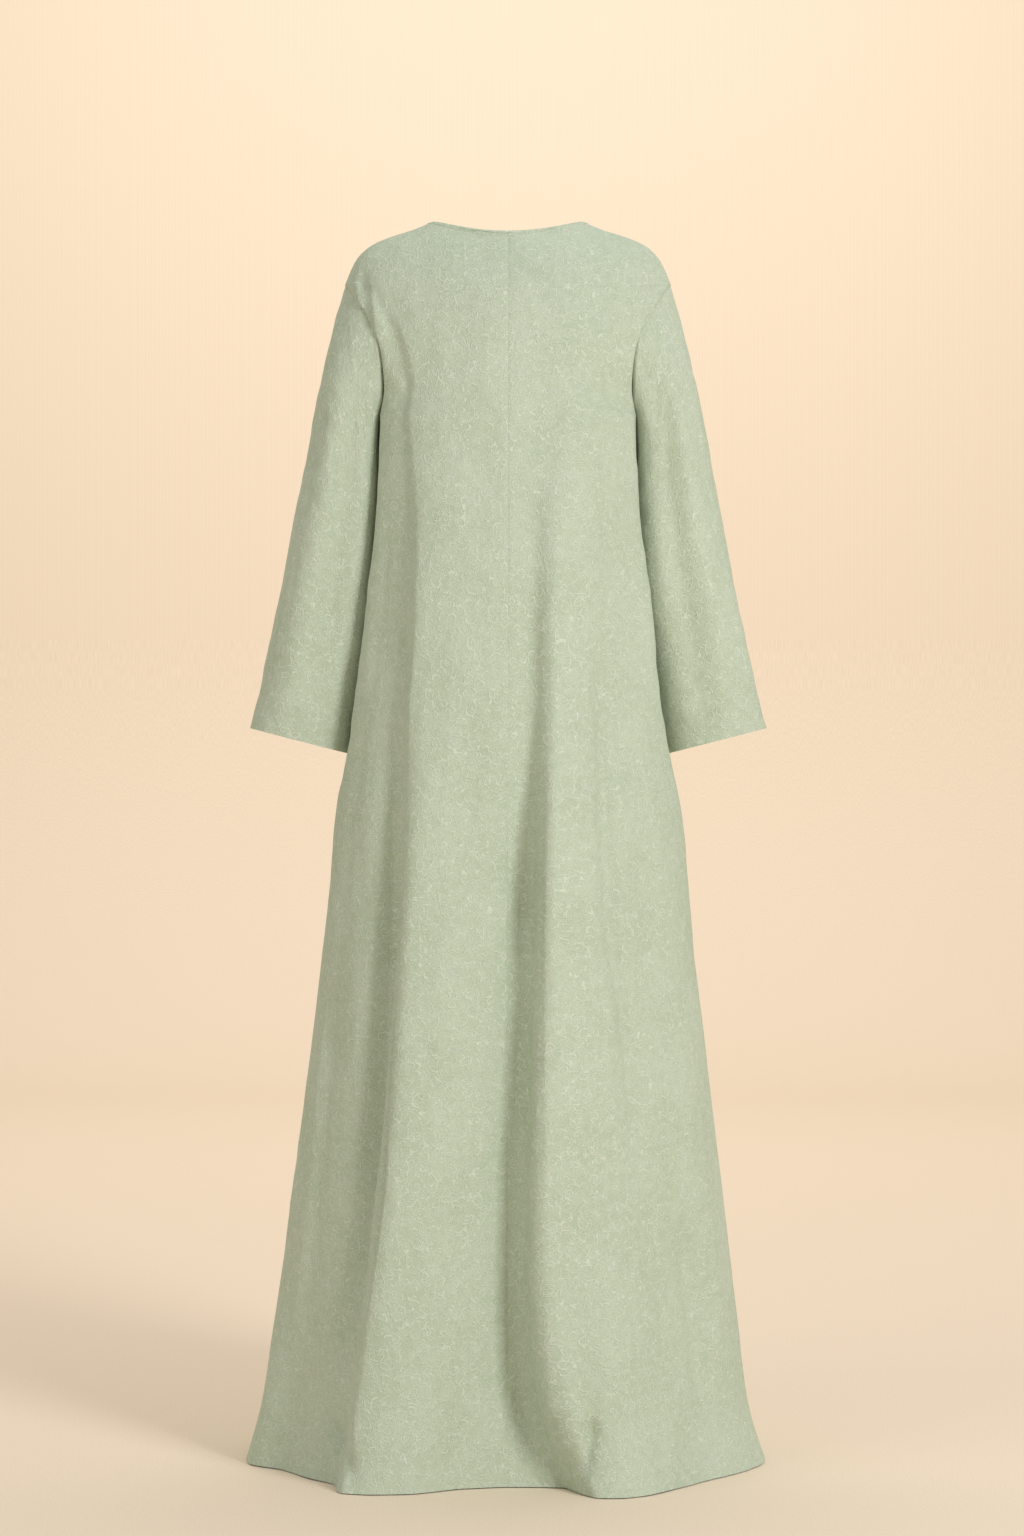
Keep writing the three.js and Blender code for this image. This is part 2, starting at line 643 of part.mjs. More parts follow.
const mirrored = ({ outer, inner }) => {
  const turnRow = (row) => row.map(([x, y, z]) => [-x, y, z]).reverse();
  return { outer: outer.map(turnRow), inner: inner.map(turnRow) };
};

// ---------------------------------------------------------------- meshes
// Closed wall between an outer and an inner sheet of rows. Rows run down and columns run
// counter-clockwise seen from above; a ring joins its last column to its first.
function wallGeometry({ outer, inner }, ring) {
  const rows = outer.length;
  const columns = outer[0].length;
  const positions = [...outer.flat(), ...inner.flat()].flat();
  const index = [];
  const outerAt = (r, c) => r * columns + (c % columns);
  const innerAt = (r, c) => rows * columns + outerAt(r, c);
  const quad = (a, b, c, d) => index.push(a, b, c, a, c, d);
  const cells = ring ? columns : columns - 1;
  for (let r = 0; r < rows - 1; r += 1) {
    for (let c = 0; c < cells; c += 1) {
      quad(outerAt(r, c), outerAt(r + 1, c), outerAt(r + 1, c + 1), outerAt(r, c + 1));
      quad(innerAt(r, c), innerAt(r, c + 1), innerAt(r + 1, c + 1), innerAt(r + 1, c));
    }
  }
  const end = rows - 1;
  for (let c = 0; c < cells; c += 1) {
    quad(outerAt(0, c), outerAt(0, c + 1), innerAt(0, c + 1), innerAt(0, c));
    quad(outerAt(end, c), innerAt(end, c), innerAt(end, c + 1), outerAt(end, c + 1));
  }
  if (!ring) {
    const side = columns - 1;
    for (let r = 0; r < rows - 1; r += 1) {
      quad(outerAt(r, 0), innerAt(r, 0), innerAt(r + 1, 0), outerAt(r + 1, 0));
      quad(outerAt(r, side), outerAt(r + 1, side), innerAt(r + 1, side), innerAt(r, side));
    }
  }
  const geometry = new THREE.BufferGeometry();
  geometry.setAttribute("position", new THREE.Float32BufferAttribute(positions, 3));
  geometry.setIndex(index);
  geometry.computeVertexNormals();
  return geometry;
}

const dress = new THREE.Group();
dress.name = "prayer_dress";

function piece(name, rows, ring, colour) {
  const material = new THREE.MeshStandardMaterial({ color: colour, roughness: ROUGHNESS });
  const mesh = new THREE.Mesh(wallGeometry(rows, ring), material);
  mesh.name = name;
  dress.add(mesh);
}

const PANEL_COLOUR = 0xb6c4a8;
const TRIM_COLOUR = 0xacbb9e;
const ROUGHNESS = 0.85;
const centreBack = BACK_FOLDS.findIndex((fold) => fold.name === "centre back seam");
piece("back_left", panelRows(BACK, 0, centreBack), false, PANEL_COLOUR);
piece("back_right", panelRows(BACK, centreBack, BACK_FOLDS.length - 1), false, PANEL_COLOUR);
piece("front", panelRows(FRONT, 0, FRONT_FOLDS.length - 1), false, PANEL_COLOUR);
piece("neck_binding", bindingRows(), true, TRIM_COLOUR);

const sleeve = tubeRows([0, ...SLEEVE_ROWS, CUFF_SEAM], WALL, 0, 0);
piece("sleeve_left", sleeve, true, PANEL_COLOUR);
piece("sleeve_right", mirrored(sleeve), true, PANEL_COLOUR);

const cuffStations = [CUFF_SEAM, ...CUFF_ROWS.map((k) => CUFF_SEAM + k), CUFF_EDGE];
const cuff = tubeRows(cuffStations, CUFF_WALL, CUFF_PROUD, SEAM_GAP);
piece("cuff_left", cuff, true, TRIM_COLOUR);
piece("cuff_right", mirrored(cuff), true, TRIM_COLOUR);

export default dress;
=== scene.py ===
"""Looks of the prayer dress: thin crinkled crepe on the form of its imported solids.

The tables are in millimetres, as in the part's source, and the scene is in metres.
+Z is up, +Y is the dress's back, which faces the camera, and +X is the wearer's left.
"""

import math

import bpy
import numpy as np
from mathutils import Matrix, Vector


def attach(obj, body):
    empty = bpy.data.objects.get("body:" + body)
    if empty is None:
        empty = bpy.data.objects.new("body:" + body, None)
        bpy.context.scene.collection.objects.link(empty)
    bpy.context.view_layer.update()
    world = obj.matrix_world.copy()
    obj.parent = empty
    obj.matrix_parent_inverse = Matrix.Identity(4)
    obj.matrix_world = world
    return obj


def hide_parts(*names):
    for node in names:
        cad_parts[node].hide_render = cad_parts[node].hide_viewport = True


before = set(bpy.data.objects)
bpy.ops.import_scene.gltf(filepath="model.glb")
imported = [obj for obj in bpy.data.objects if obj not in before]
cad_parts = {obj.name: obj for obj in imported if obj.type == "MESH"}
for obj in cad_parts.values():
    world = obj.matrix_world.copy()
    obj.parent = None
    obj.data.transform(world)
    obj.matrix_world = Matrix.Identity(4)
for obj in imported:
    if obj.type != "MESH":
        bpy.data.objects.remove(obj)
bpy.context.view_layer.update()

MM = 0.001
BACK = 1
FRONT = -1


def table(columns, *rows):
    """A table of numbers with named columns."""
    return dict(zip(columns.split(), np.array(rows, float).T))


# ---------------------------------------------------------------- sizes of the cut
LENGTH = 1481.0  # neck-shoulder point to hem
UNDERARM_DOWN = 235.0
SHOULDER_BACK = -5.0
EDGE_POWER = 2.5  # how close to its end a row gives way to the armhole
ARMHOLE_BLEND = 2.2  # sleeve stations over which the armhole's form fades out
CLOTH = 0.9  # thickness of the crepe
HEM_TURN = 9.0
HEM_CLOTH = 2.0  # thickness of the turned hem
HEM_STITCH = 8.0  # height of the hem's topstitching
CUFF_CLOTH = 2.0
CUFF_PROUD = 0.4
CUFF_STITCH = 7.0  # height of the cuff's topstitching
BINDING_WIDTH = 8.0
BINDING_CLOTH = 2.8
BINDING_PROUD = 0.5

SHOULDER_SEAM = table(
    "station x y z",
    (0, 90, 0, 0),
    (0.05, 96.5, 0, -2.8),
    (0.17, 113.5, -1, -9.6),
    (0.34, 136.5, -2, -16.8),
    (0.49, 155.5, -3, -24),
    (0.6, 168.3, -4, -31.2),
    (0.69, 176.3, -4.5, -38.4),
    (0.76, 182.1, -5, -45.6),
    (0.88, 189.3, -5, -60),
    (1, 195.5, -5, -76),
)
# Left armhole seam, every 45 degrees from the shoulder, by way of the back
ARMHOLE = table(
    "x y z",
    (195.5, -5, -76),
    (177.5, 42, -105),
    (155, 63, -144),
    (147.5, 50, -198),
    (151, 0, -235),
    (148.5, -53, -198),
    (157, -67, -147),
    (179, -47, -105),
)
YOKE = table(
    "station back_y back_z front_y front_z fullness",
    (0, 52, -17.5, -78, -88, 1),
    (0.5, 78, -52, -92, -112, 1.08),
    (1, 100, -96, -107, -142, 1.12),
    (1.25, 107, -126, -114, -162, 1.02),
    (1.5, 112.5, -160, -121, -184, 0.86),
    (1.75, 117, -196, -127, -209, 0.68),
    (2, 121, -235, -131, -235, 0.57),
)
SECTIONS = table(
    "down left right back front fullness",
    (235, 151, 151, 121, 131, 0.57),
    (350, 148.5, 149, 136, 145, 0.62),
    (454, 156, 156.5, 148, 152, 0.7),
    (560, 172, 171, 158, 160, 0.78),
    (646, 188, 188.5, 165, 166, 0.84),
    (694, 199.5, 200, 169, 170, 0.87),
    (790, 211.7, 213, 176, 177, 0.92),
    (886, 223.3, 223.4, 182.5, 183, 0.97),
    (1030, 241.1, 241.2, 190.5, 190.5, 1),
    (1174, 259.4, 258.7, 198.5, 198.5, 1),
    (1318, 280.4, 275, 206, 206, 1),
    (1414, 295.4, 287.8, 211, 212, 1),
    (1462, 308, 301.3, 214.5, 216, 1),
    (1481, 313.5, 308, 216, 218, 1),
)

# Fold lines of each face, from the first seam to the last: the angle from the centre line
# and how far the cloth stands off the plain section, both at each of these levels.
FOLD_LEVELS = np.array([100, 235, 454, 694, 934, 1234, 1440, 1481], float)
FLAT = (0,) * 8


def folds(*rows):
    """Angles and standing-off of fold lines, a row for each line."""
    return {
        "angle": np.array([row[1] for row in rows], float),
        "out": np.array([row[2] for row in rows], float),
    }


BACK_FOLDS = folds(
    ("left side seam", (90,) * 8, FLAT),
    ("left side edge", (78,) * 8, (0, 4, 15.2, 6.7, 1, 0, 0, 0)),
    ("left hollow", (68, 68, 65, 63, 62, 62.5, 64, 65), (0, 2, 2, -3, -7, -12, -18, -19.5)),
    ("flute one foot", (62, 57, 50, 46, 42, 40, 40, 40), (0, -1, -4, -5, -6, -5, 0, 2)),
    ("flute one crest", (50, 47, 39.5, 36, 32.5, 31.5, 32.5, 32.6), (0, 3, 8, 13, 21, 33, 42, 45)),
    ("flute one plane", (30, 28, 24, 22, 21, 20, 20, 20), (0, 2, 3, 6, 11, 17, 23, 24)),
    ("flute one heel", (14, 14, 12, 10.5, 9.5, 9.5, 9.5, 9.5), (0, 0, -1.5, -4, -7, -13, -18, -19)),
    ("centre back seam", FLAT, (0, 0, -3, -6.5, -11, -18, -28, -30)),
    ("flute two foot", (-8, -10, -8, -4, -3, -4, -10.5, -12.2),
     (0, 0, -2.5, -5.5, -9.5, -15, -20, -21.5)),
    ("flute two edge", (-16, -20, -17, -11, -10, -11.5, -16, -17.5),
     (0, 1, 2.5, 3.5, 6, 16, 38, 43)),
    ("flute two crest", (-30, -31, -29, -25, -23, -22, -22.5, -23), (0, 3, 7, 11.5, 18, 32, 48, 51)),
    ("flute two slope", (-40, -42, -40, -36, -34, -34, -36, -37), (0, 1.5, 3.5, 6, 9, 15, 21, 22)),
    ("flute two toe", (-50, -52, -50, -48, -48, -49, -51, -52), (0, -1, -2, -2, -2, -1, 0.5, 1)),
    ("right ridge", (-66, -66, -66, -62, -62, -64, -68, -69), (0, 1, 2, 3, 2.5, 1, -1, -1)),
    ("right side edge", (-78,) * 8, (0, 4, 15.2, 6.7, 1, 0, 0, 0)),
    ("right side seam", (-90,) * 8, FLAT),
)
CENTRE_BACK = 7  # place of the centre back seam among the back's fold lines
FRONT_FOLDS = folds(
    ("right side seam", (-90,) * 8, FLAT),
    ("right side edge", (-79,) * 8, (0, 1, 3, 1.5, 0, 0, 0, 0)),
    ("right hollow", (-68, -68, -67, -66, -65, -64, -64, -64), (0, 0, -2, -3, -5, -8, -11, -12)),
    ("right flute", (-44, -44, -42, -40, -38, -37, -38, -38), (0, 2, 5, 10, 17, 28, 38, 41)),
    ("right of centre hollow", (-16, -17, -17, -17, -17, -16, -15, -15),
     (0, 0, -3, -6, -10, -15, -20, -22)),
    ("centre flute", (6, 6, 7, 8, 8, 7, 6, 6), (0, 1, 3, 6, 11, 20, 29, 31)),
    ("left of centre hollow", (24, 25, 26, 27, 28, 28, 28, 28), (0, -1, -3, -5, -8, -12, -16, -17)),
    ("left flute", (48, 48, 48, 48, 49, 50, 51, 51), (0, 2, 5, 9, 15, 25, 34, 36)),
    ("left hollow", (70, 70, 70, 70, 71, 72, 73, 73), (0, 0, -1, -2, -3, -5, -7, -8)),
    ("left side edge", (80,) * 8, (0, 1, 3, 1.5, 0, 0, 0, 0)),
    ("left side seam", (90,) * 8, FLAT),
)

# Left sleeve, a row for each station from the armhole to the cuff edge
SLEEVE = table(
    "out_x out_z in_x in_z y half",
    (195.5, -76, 151, -235, -2, 62),
    (209.2, -122, 153.6, -262, -4, 62.5),
    (221.5, -178, 152.2, -295, -6, 63),
    (234, -238, 151.6, -335, -9, 63),
    (247.7, -308, 153.4, -388, -12, 62.5),
    (263.7, -388, 158.6, -450, -16, 62),
    (281.1, -478, 168.8, -520, -21, 61.5),
    (299, -567, 182.6, -597, -25, 61),
    (308.5, -607.5, 190, -638, -28, 61.5),
)
SLEEVE_FLATNESS = 0.6  # 1 is an ellipse, and less is flatter at the back and the front
CAP = 1
ELBOW = 4.5
CUFF_SEAM = 7
CUFF_EDGE = 8
SLEEVE_FOLDS = table(
    "angle armhole elbow cuff",
    (0, 0, 0, 0),
    (38, 0, -1, -1),
    (68, 1, 4, 1.5),
    (97, -1, -4, -2),
    (122, 1, 3, 1.5),
    (180, 0, -1, 0),
    (222, 0, 2, 1),
    (256, -1, -4, -2),
    (292, 1, 3.5, 1.5),
)


# ---------------------------------------------------------------- curves
def slopes(xs, ys):
    """Slopes for a smooth curve through points that never overshoots them."""
    h = np.diff(xs)
    step = np.diff(ys) / h
    a, b = step[:-1], step[1:]
    same = a * b > 0
    inner = np.zeros(len(a))
    top = 3 * (h[:-1] + h[1:])[same]
    inner[same] = top / (
        (2 * h[1:] + h[:-1])[same] / a[same] + (h[1:] + 2 * h[:-1])[same] / b[same]
    )
    return np.concatenate([step[:1], inner, step[-1:]])


def smooth(xs, ys, x):
    """The smooth curve through the points, held at its end values outside them."""
    xs = np.asarray(xs, float)
    ys = np.asarray(ys, float)
    slope = slopes(xs, ys)
    x = np.clip(x, xs[0], xs[-1])
    i = np.clip(np.searchsorted(xs, x) - 1, 0, len(xs) - 2)
    h = xs[i + 1] - xs[i]
    k = (x - xs[i]) / h
    return (
        ys[i] * (2 * k**3 - 3 * k**2 + 1)
        + slope[i] * h * (k**3 - 2 * k**2 + k)
        + ys[i + 1] * (3 * k**2 - 2 * k**3)
        + slope[i + 1] * h * (k**3 - k**2)
    )


def ramp(x, low=0.0, high=1.0):
    """0 below low, 1 above high, and smooth between them."""
    k = np.clip((np.asarray(x, float) - low) / (high - low), 0, 1)
    return k * k * (3 - 2 * k)


def unit(vectors):
    """Vectors of length 1 along the last axis."""
    vectors = np.asarray(vectors, float)
    return vectors / np.maximum(np.linalg.norm(vectors, axis=-1, keepdims=True), 1e-9)


# ---------------------------------------------------------------- body panels
def armhole_points(turns):
    """Points of the left armhole seam; turn 0 is the shoulder, 90 the back."""
    n = len(ARMHOLE["x"])
    place = np.mod(np.asarray(turns, float) * n / 360, n)
    i = np.floor(place).astype(int)
    k = place - i
    found = []
    for name in "xyz":
        a, b, c, d = (ARMHOLE[name][(i + j) % n] for j in (-1, 0, 1, 2))
        bend = 2 * a - 5 * b + 4 * c - d + k * (3 * (b - c) + d - a)
        found.append(b + 0.5 * k * (c - a + k * bend))
    return np.stack(found, -1)


def station_of(down):
    """Station of a level below the underarm."""
    return 2 + (down - UNDERARM_DOWN) / (LENGTH - UNDERARM_DOWN)


def down_of(station):
    """Level of a station below the underarm."""
    return UNDERARM_DOWN + (station - 2) * (LENGTH - UNDERARM_DOWN)


def edge_point(face, side, s):
    """Where a row ends: on the shoulder seam, the armhole or the side seam."""
    if s <= 1:
        return [smooth(SHOULDER_SEAM["station"], SHOULDER_SEAM[axis], s) for axis in "xyz"]
    if s <= 2:
        return armhole_points(face * 180 * (s - 1))
    width = SECTIONS["left" if side > 0 else "right"]
    return [smooth(SECTIONS["down"], width, down_of(s)), 0, -down_of(s)]


def centre_point(face, s):
    """Middle of a row, y and z, and how full its plan is."""
    name = "back" if face == BACK else "front"
    if s <= 2:
        columns = (name + "_y", name + "_z", "fullness")
        return [smooth(YOKE["station"], YOKE[column], s) for column in columns]
    down = down_of(s)
    depth = smooth(SECTIONS["down"], SECTIONS[name], down)
    return face * depth, -down, smooth(SECTIONS["down"], SECTIONS["fullness"], down)


def fold_rows(face, s):
    """Angles and standing-off of the face's fold lines at a row."""
    lines = BACK_FOLDS if face == BACK else FRONT_FOLDS
    if s <= 2:
        down = FOLD_LEVELS[0] + (FOLD_LEVELS[1] - FOLD_LEVELS[0]) * s / 2
    else:
        down = down_of(s)
    return [
        np.array([smooth(FOLD_LEVELS, line, down) for line in lines[name]])
        for name in ("angle", "out")
    ]


def panel_row(face, places, s):
    """Points of a row of a face; a place counts fold lines from the first seam."""
    line_angles, outs = fold_rows(face, s)
    angles = np.interp(places, np.arange(len(line_angles)), line_angles)
    order = slice(None, None, 1 if line_angles[0] < line_angles[-1] else -1)
    out = smooth(line_angles[order], outs[order], angles)
    centre_y, centre_z, fullness = centre_point(face, s)
    points = np.zeros((len(places), 3))
    for side in (1, -1):
        here = angles * side > 0 if side < 0 else angles >= 0
        edge = edge_point(face, side, s)
        middle = SHOULDER_BACK * (2 - s) if 1 < s < 2 else edge[1]
        reach = max(0.0, (edge[1] - middle) / (centre_y - middle))
        end_cos = reach ** (1 / fullness)
        half = edge[0] / math.sqrt(1 - end_cos**2)
        short = 90 - math.degrees(math.acos(end_cos))
        turn = np.abs(angles[here])
        turn = np.radians(turn - short * (turn / 90) ** EDGE_POWER)
        sine = np.sin(turn)
        cosine = np.maximum(0, np.cos(turn))
        x = side * half * sine
        y = middle + (centre_y - middle) * cosine**fullness
        z = centre_z + (edge[2] - centre_z) * (half * sine / edge[0]) ** 2
        away = unit(np.stack([side * sine / half, cosine / (centre_y - middle), 0 * sine], -1))
        points[here] = np.stack([x, y, z], -1) + away * out[here, None]
    return points


def along(points):
    """Distance along a row of points."""
    steps = np.linalg.norm(np.diff(points, axis=0), axis=1)
    return np.concatenate([[0], np.cumsum(steps)])


# Rows over which a panel's columns are shared out; the hem's row counts twice
SPREAD_STATIONS = (1, 1.6, 2, 2.3, 2.6, 2.8, 3, 3)
SPREAD_SAMPLES = 1600
SEAM_COLUMNS = (0.3, 0.65)  # extra columns in the strip beside a seam, as shares of it


def even_places(face, first, last, count):
    """Places that share a panel's cloth out evenly, with more beside its seams."""
    fine = np.linspace(first, last, SPREAD_SAMPLES)
    total = 0
    for s in SPREAD_STATIONS:
        length = along(panel_row(face, fine, s))
        total = total + length / length[-1]
    steps = np.linspace(0, total[-1], count)
    extra = [steps[1] * share for share in SEAM_COLUMNS]
    steps = np.sort(np.concatenate([steps, extra, total[-1] - np.array(extra)]))
    return np.interp(steps, total, fine)


YOKE_STEPS = 24  # rows from the neck to the shoulder point
ARMHOLE_STEPS = 32  # rows beside the armhole
SKIRT_STEP = 7.0  # height of a row below the underarm
HEM_ZONE = 24.0  # height of the finer rows at the hem
HEM_STEP = 2.0


def panel_stations():
    """Stations of a panel's rows, from below the neck binding to the hem."""
    skirt = np.linspace(
        UNDERARM_DOWN, LENGTH - HEM_ZONE, round((LENGTH - HEM_ZONE - UNDERARM_DOWN) / SKIRT_STEP)
    )
    hem = np.linspace(LENGTH - HEM_ZONE, LENGTH, round(HEM_ZONE / HEM_STEP) + 1)
    return np.concatenate([
        np.linspace(0, 1, YOKE_STEPS),
        np.linspace(1, 2, ARMHOLE_STEPS)[1:],
        [station_of(down) for down in skirt[1:]],
        [station_of(down) for down in hem[1:]],
    ])


def grid_normals(grid, ring=False):
    """Outward normals of a grid whose rows run down and whose columns run round."""
    down = np.gradient(grid, axis=0)
    if ring:
        wide = np.concatenate([grid[:, -1:], grid, grid[:, :1]], 1)
        across = (wide[:, 2:] - wide[:, :-2]) / 2
    else:
        across = np.gradient(grid, axis=1)
    return unit(np.cross(down, across))


ARMHOLE_MIDDLE = np.array([165.0, 0.0, -155.0])  # point inside the shoulder, behind the seam
SEAM_DIP = 0.8  # how far the cloth sinks into a seam
SEAM_REACH = 2.6  # how far from the seam it sinks
NECK_COVERED = 0.6  # share of the binding's width that lies above the panel's first row
NECK_STATION = 0.08  # station of a row just below the neck


def cloth_coordinates(grid, start):
    """Place of each point on the flat cloth: across from a start column, and down."""
    across = np.array([along(row) for row in grid])
    across = across - across[:, [start]]
    down = along(grid[:, start])
    return np.stack([across, np.broadcast_to(down[:, None], across.shape), 0 * across], -1)


def panel(face, first, last, columns):
    """A panel between two of its face's fold lines: grid, normals, distance to seams, cloth."""
    places = even_places(face, first, last, columns)
    stations = panel_stations()
    grid = np.array([panel_row(face, places, s) for s in stations])
    grid[0] += neck_fall(face, places) * BINDING_WIDTH * NECK_COVERED
    normals = grid_normals(grid)
    beside_armhole = (stations >= 1) & (stations <= 2)
    for column, place in ((0, first), (-1, last)):
        if face == BACK and place == CENTRE_BACK:
            normals[:, column, 0] = 0
        else:
            normals[~beside_armhole, column, 1] = 0
            mirror = np.array([np.sign(grid[-1, column, 0]), 1, 1])
            seam = grid[beside_armhole, column]
            normals[beside_armhole, column] = unit(seam - ARMHOLE_MIDDLE * mirror)
    normals = unit(normals)
    reach = np.array([along(row) for row in grid])
    seam_distance = np.minimum(reach, reach[:, -1:] - reach)
    start = {0: -1, CENTRE_BACK: 0}[first] if face == BACK else len(places) // 2
    cloth = cloth_coordinates(grid, start)
    return {
        "grid": grid, "normals": normals, "seam": seam_distance, "cloth": cloth, "stations": stations
    }


def neck_fall(face, places):
    """Direction from the neck edge into the panel."""
    return unit(panel_row(face, places, NECK_STATION) - panel_row(face, places, 0))


# ---------------------------------------------------------------- sleeves
def sleeve_fold(turns, station):
    """How far a sleeve's long folds stand off its plain section."""
    heights = [0, CAP, ELBOW, CUFF_SEAM, CUFF_EDGE]
    rows = zip(*(SLEEVE_FOLDS[name] for name in ("armhole", "elbow", "cuff")))
    outs = np.array([smooth(heights, [0, *row, 0], station) for row in rows])
    angles = SLEEVE_FOLDS["angle"]
    angles = np.concatenate([[angles[-1] - 360], angles, [360, 360 + angles[1]]])
    outs = np.concatenate([outs[-1:], outs, outs[:2]])
    return smooth(angles, outs, np.mod(turns, 360))


def sleeve_row(turns, station):
    """Points of a ring of the left sleeve; turn 0 is its outer line, 90 its back."""
    cosine = np.cos(np.radians(turns))
    sine = np.sin(np.radians(turns))
    flat_sine = np.sign(sine) * np.abs(sine) ** SLEEVE_FLATNESS

    def section(at):
        return np.stack([
            (at("out_x") * (1 + cosine) + at("in_x") * (1 - cosine)) / 2,
            at("y") + at("half") * flat_sine,
            (at("out_z") * (1 + cosine) + at("in_z") * (1 - cosine)) / 2,
        ], -1)

    here = section(lambda name: smooth(np.arange(len(SLEEVE[name])), SLEEVE[name], station))
    first = section(lambda name: SLEEVE[name][0])
    rest = 1 - ramp(station / ARMHOLE_BLEND)
    away = np.stack([cosine, sine, 0 * sine], -1) * sleeve_fold(turns, station)[:, None]
    return here + (armhole_points(turns) - first) * rest + away


SLEEVE_COLUMNS = 132
CLOTH_SEAM_TURN = 180  # where the sleeve's own seam runs, on the inner line
SLEEVE_STEPS = 130
SLEEVE_TUCK = 0.15  # stations that the sleeve runs on under the cuff
CUFF_STEPS = 24


def tube(stations, proud):
    """Rings of the left sleeve or cuff: grid, normals and distance from the first ring."""
    turns = np.linspace(0, 360, SLEEVE_COLUMNS, endpoint=False)
    grid = np.array([sleeve_row(turns, s) for s in stations])
    normals = grid_normals(grid, ring=True)
    if stations[0] == 0:
        normals[0] = unit(grid[0] - ARMHOLE_MIDDLE)
    reach = np.array([along(column) for column in grid.transpose(1, 0, 2)]).T
    start = int(SLEEVE_COLUMNS * CLOTH_SEAM_TURN / 360)
    turned = np.roll(grid, -start, 1)
    cloth = np.roll(cloth_coordinates(turned, 0), start, 1)
    return {
        "grid": grid + normals * proud, "normals": normals, "seam": reach, "cloth": cloth,
        "stations": stations,
    }


# ---------------------------------------------------------------- creases
RIPPLE_SEED = 7
RIPPLES = 26


def ripples(points, length, drawn_out, seed):
    """Even-handed unevenness of about size 1, with waves of about that length in mm."""
    rng = np.random.default_rng(seed)
    total = np.zeros(points.shape[:-1])
    for _ in range(RIPPLES):
        direction = rng.normal(size=3)
        direction /= np.linalg.norm(direction)
        wave = direction * 2 * math.pi / (length * rng.uniform(0.6, 1.6))
        wave[2] /= drawn_out
        total += np.sin(points @ wave + rng.uniform(0, 2 * math.pi))
    return total / math.sqrt(RIPPLES / 2)


def profile(kind, distance, width):
    """Height across a crease: a soft hollow or swell, a sharp edge, or a turned side."""
    share = distance / width
    if kind == "edge":
        return np.exp(-np.abs(share))
    if kind == "roll":
        return share * np.exp(0.5 - share**2 / 2)
    return np.exp(-(share**2))


def crease(points, facing, kind, line, width, depth):
    """A crease along a line of (across, down) points on one side of the dress.

    A roll stands out on the wearer's right of its line and sinks on the left of it.
    """
    line = np.array(line, float)
    across = points[..., 0]
    down = -points[..., 2]
    nearest = np.full(across.shape, np.inf)
    sign = np.ones(across.shape)
    share = np.zeros(across.shape)
    lengths = along(line)
    for (a, b), start, end in zip(zip(line[:-1], line[1:]), lengths[:-1], lengths[1:]):
        step = b - a
        k = np.clip(((across - a[0]) * step[0] + (down - a[1]) * step[1]) / (step @ step), 0, 1)
        distance = np.hypot(across - a[0] - k * step[0], down - a[1] - k * step[1])
        closer = distance < nearest
        nearest = np.where(closer, distance, nearest)
        right_of_it = (a[0] + k * step[0] - across) > 0
        sign = np.where(closer, np.where(right_of_it, 1, -1), sign)
        share = np.where(closer, (start + k * (end - start)) / lengths[-1], share)
    taper = ramp(share, 0, 0.3) * ramp(1 - share, 0, 0.4 if kind == "soft" else 0.12)
    return depth * profile(kind, sign * nearest, width) * taper * facing


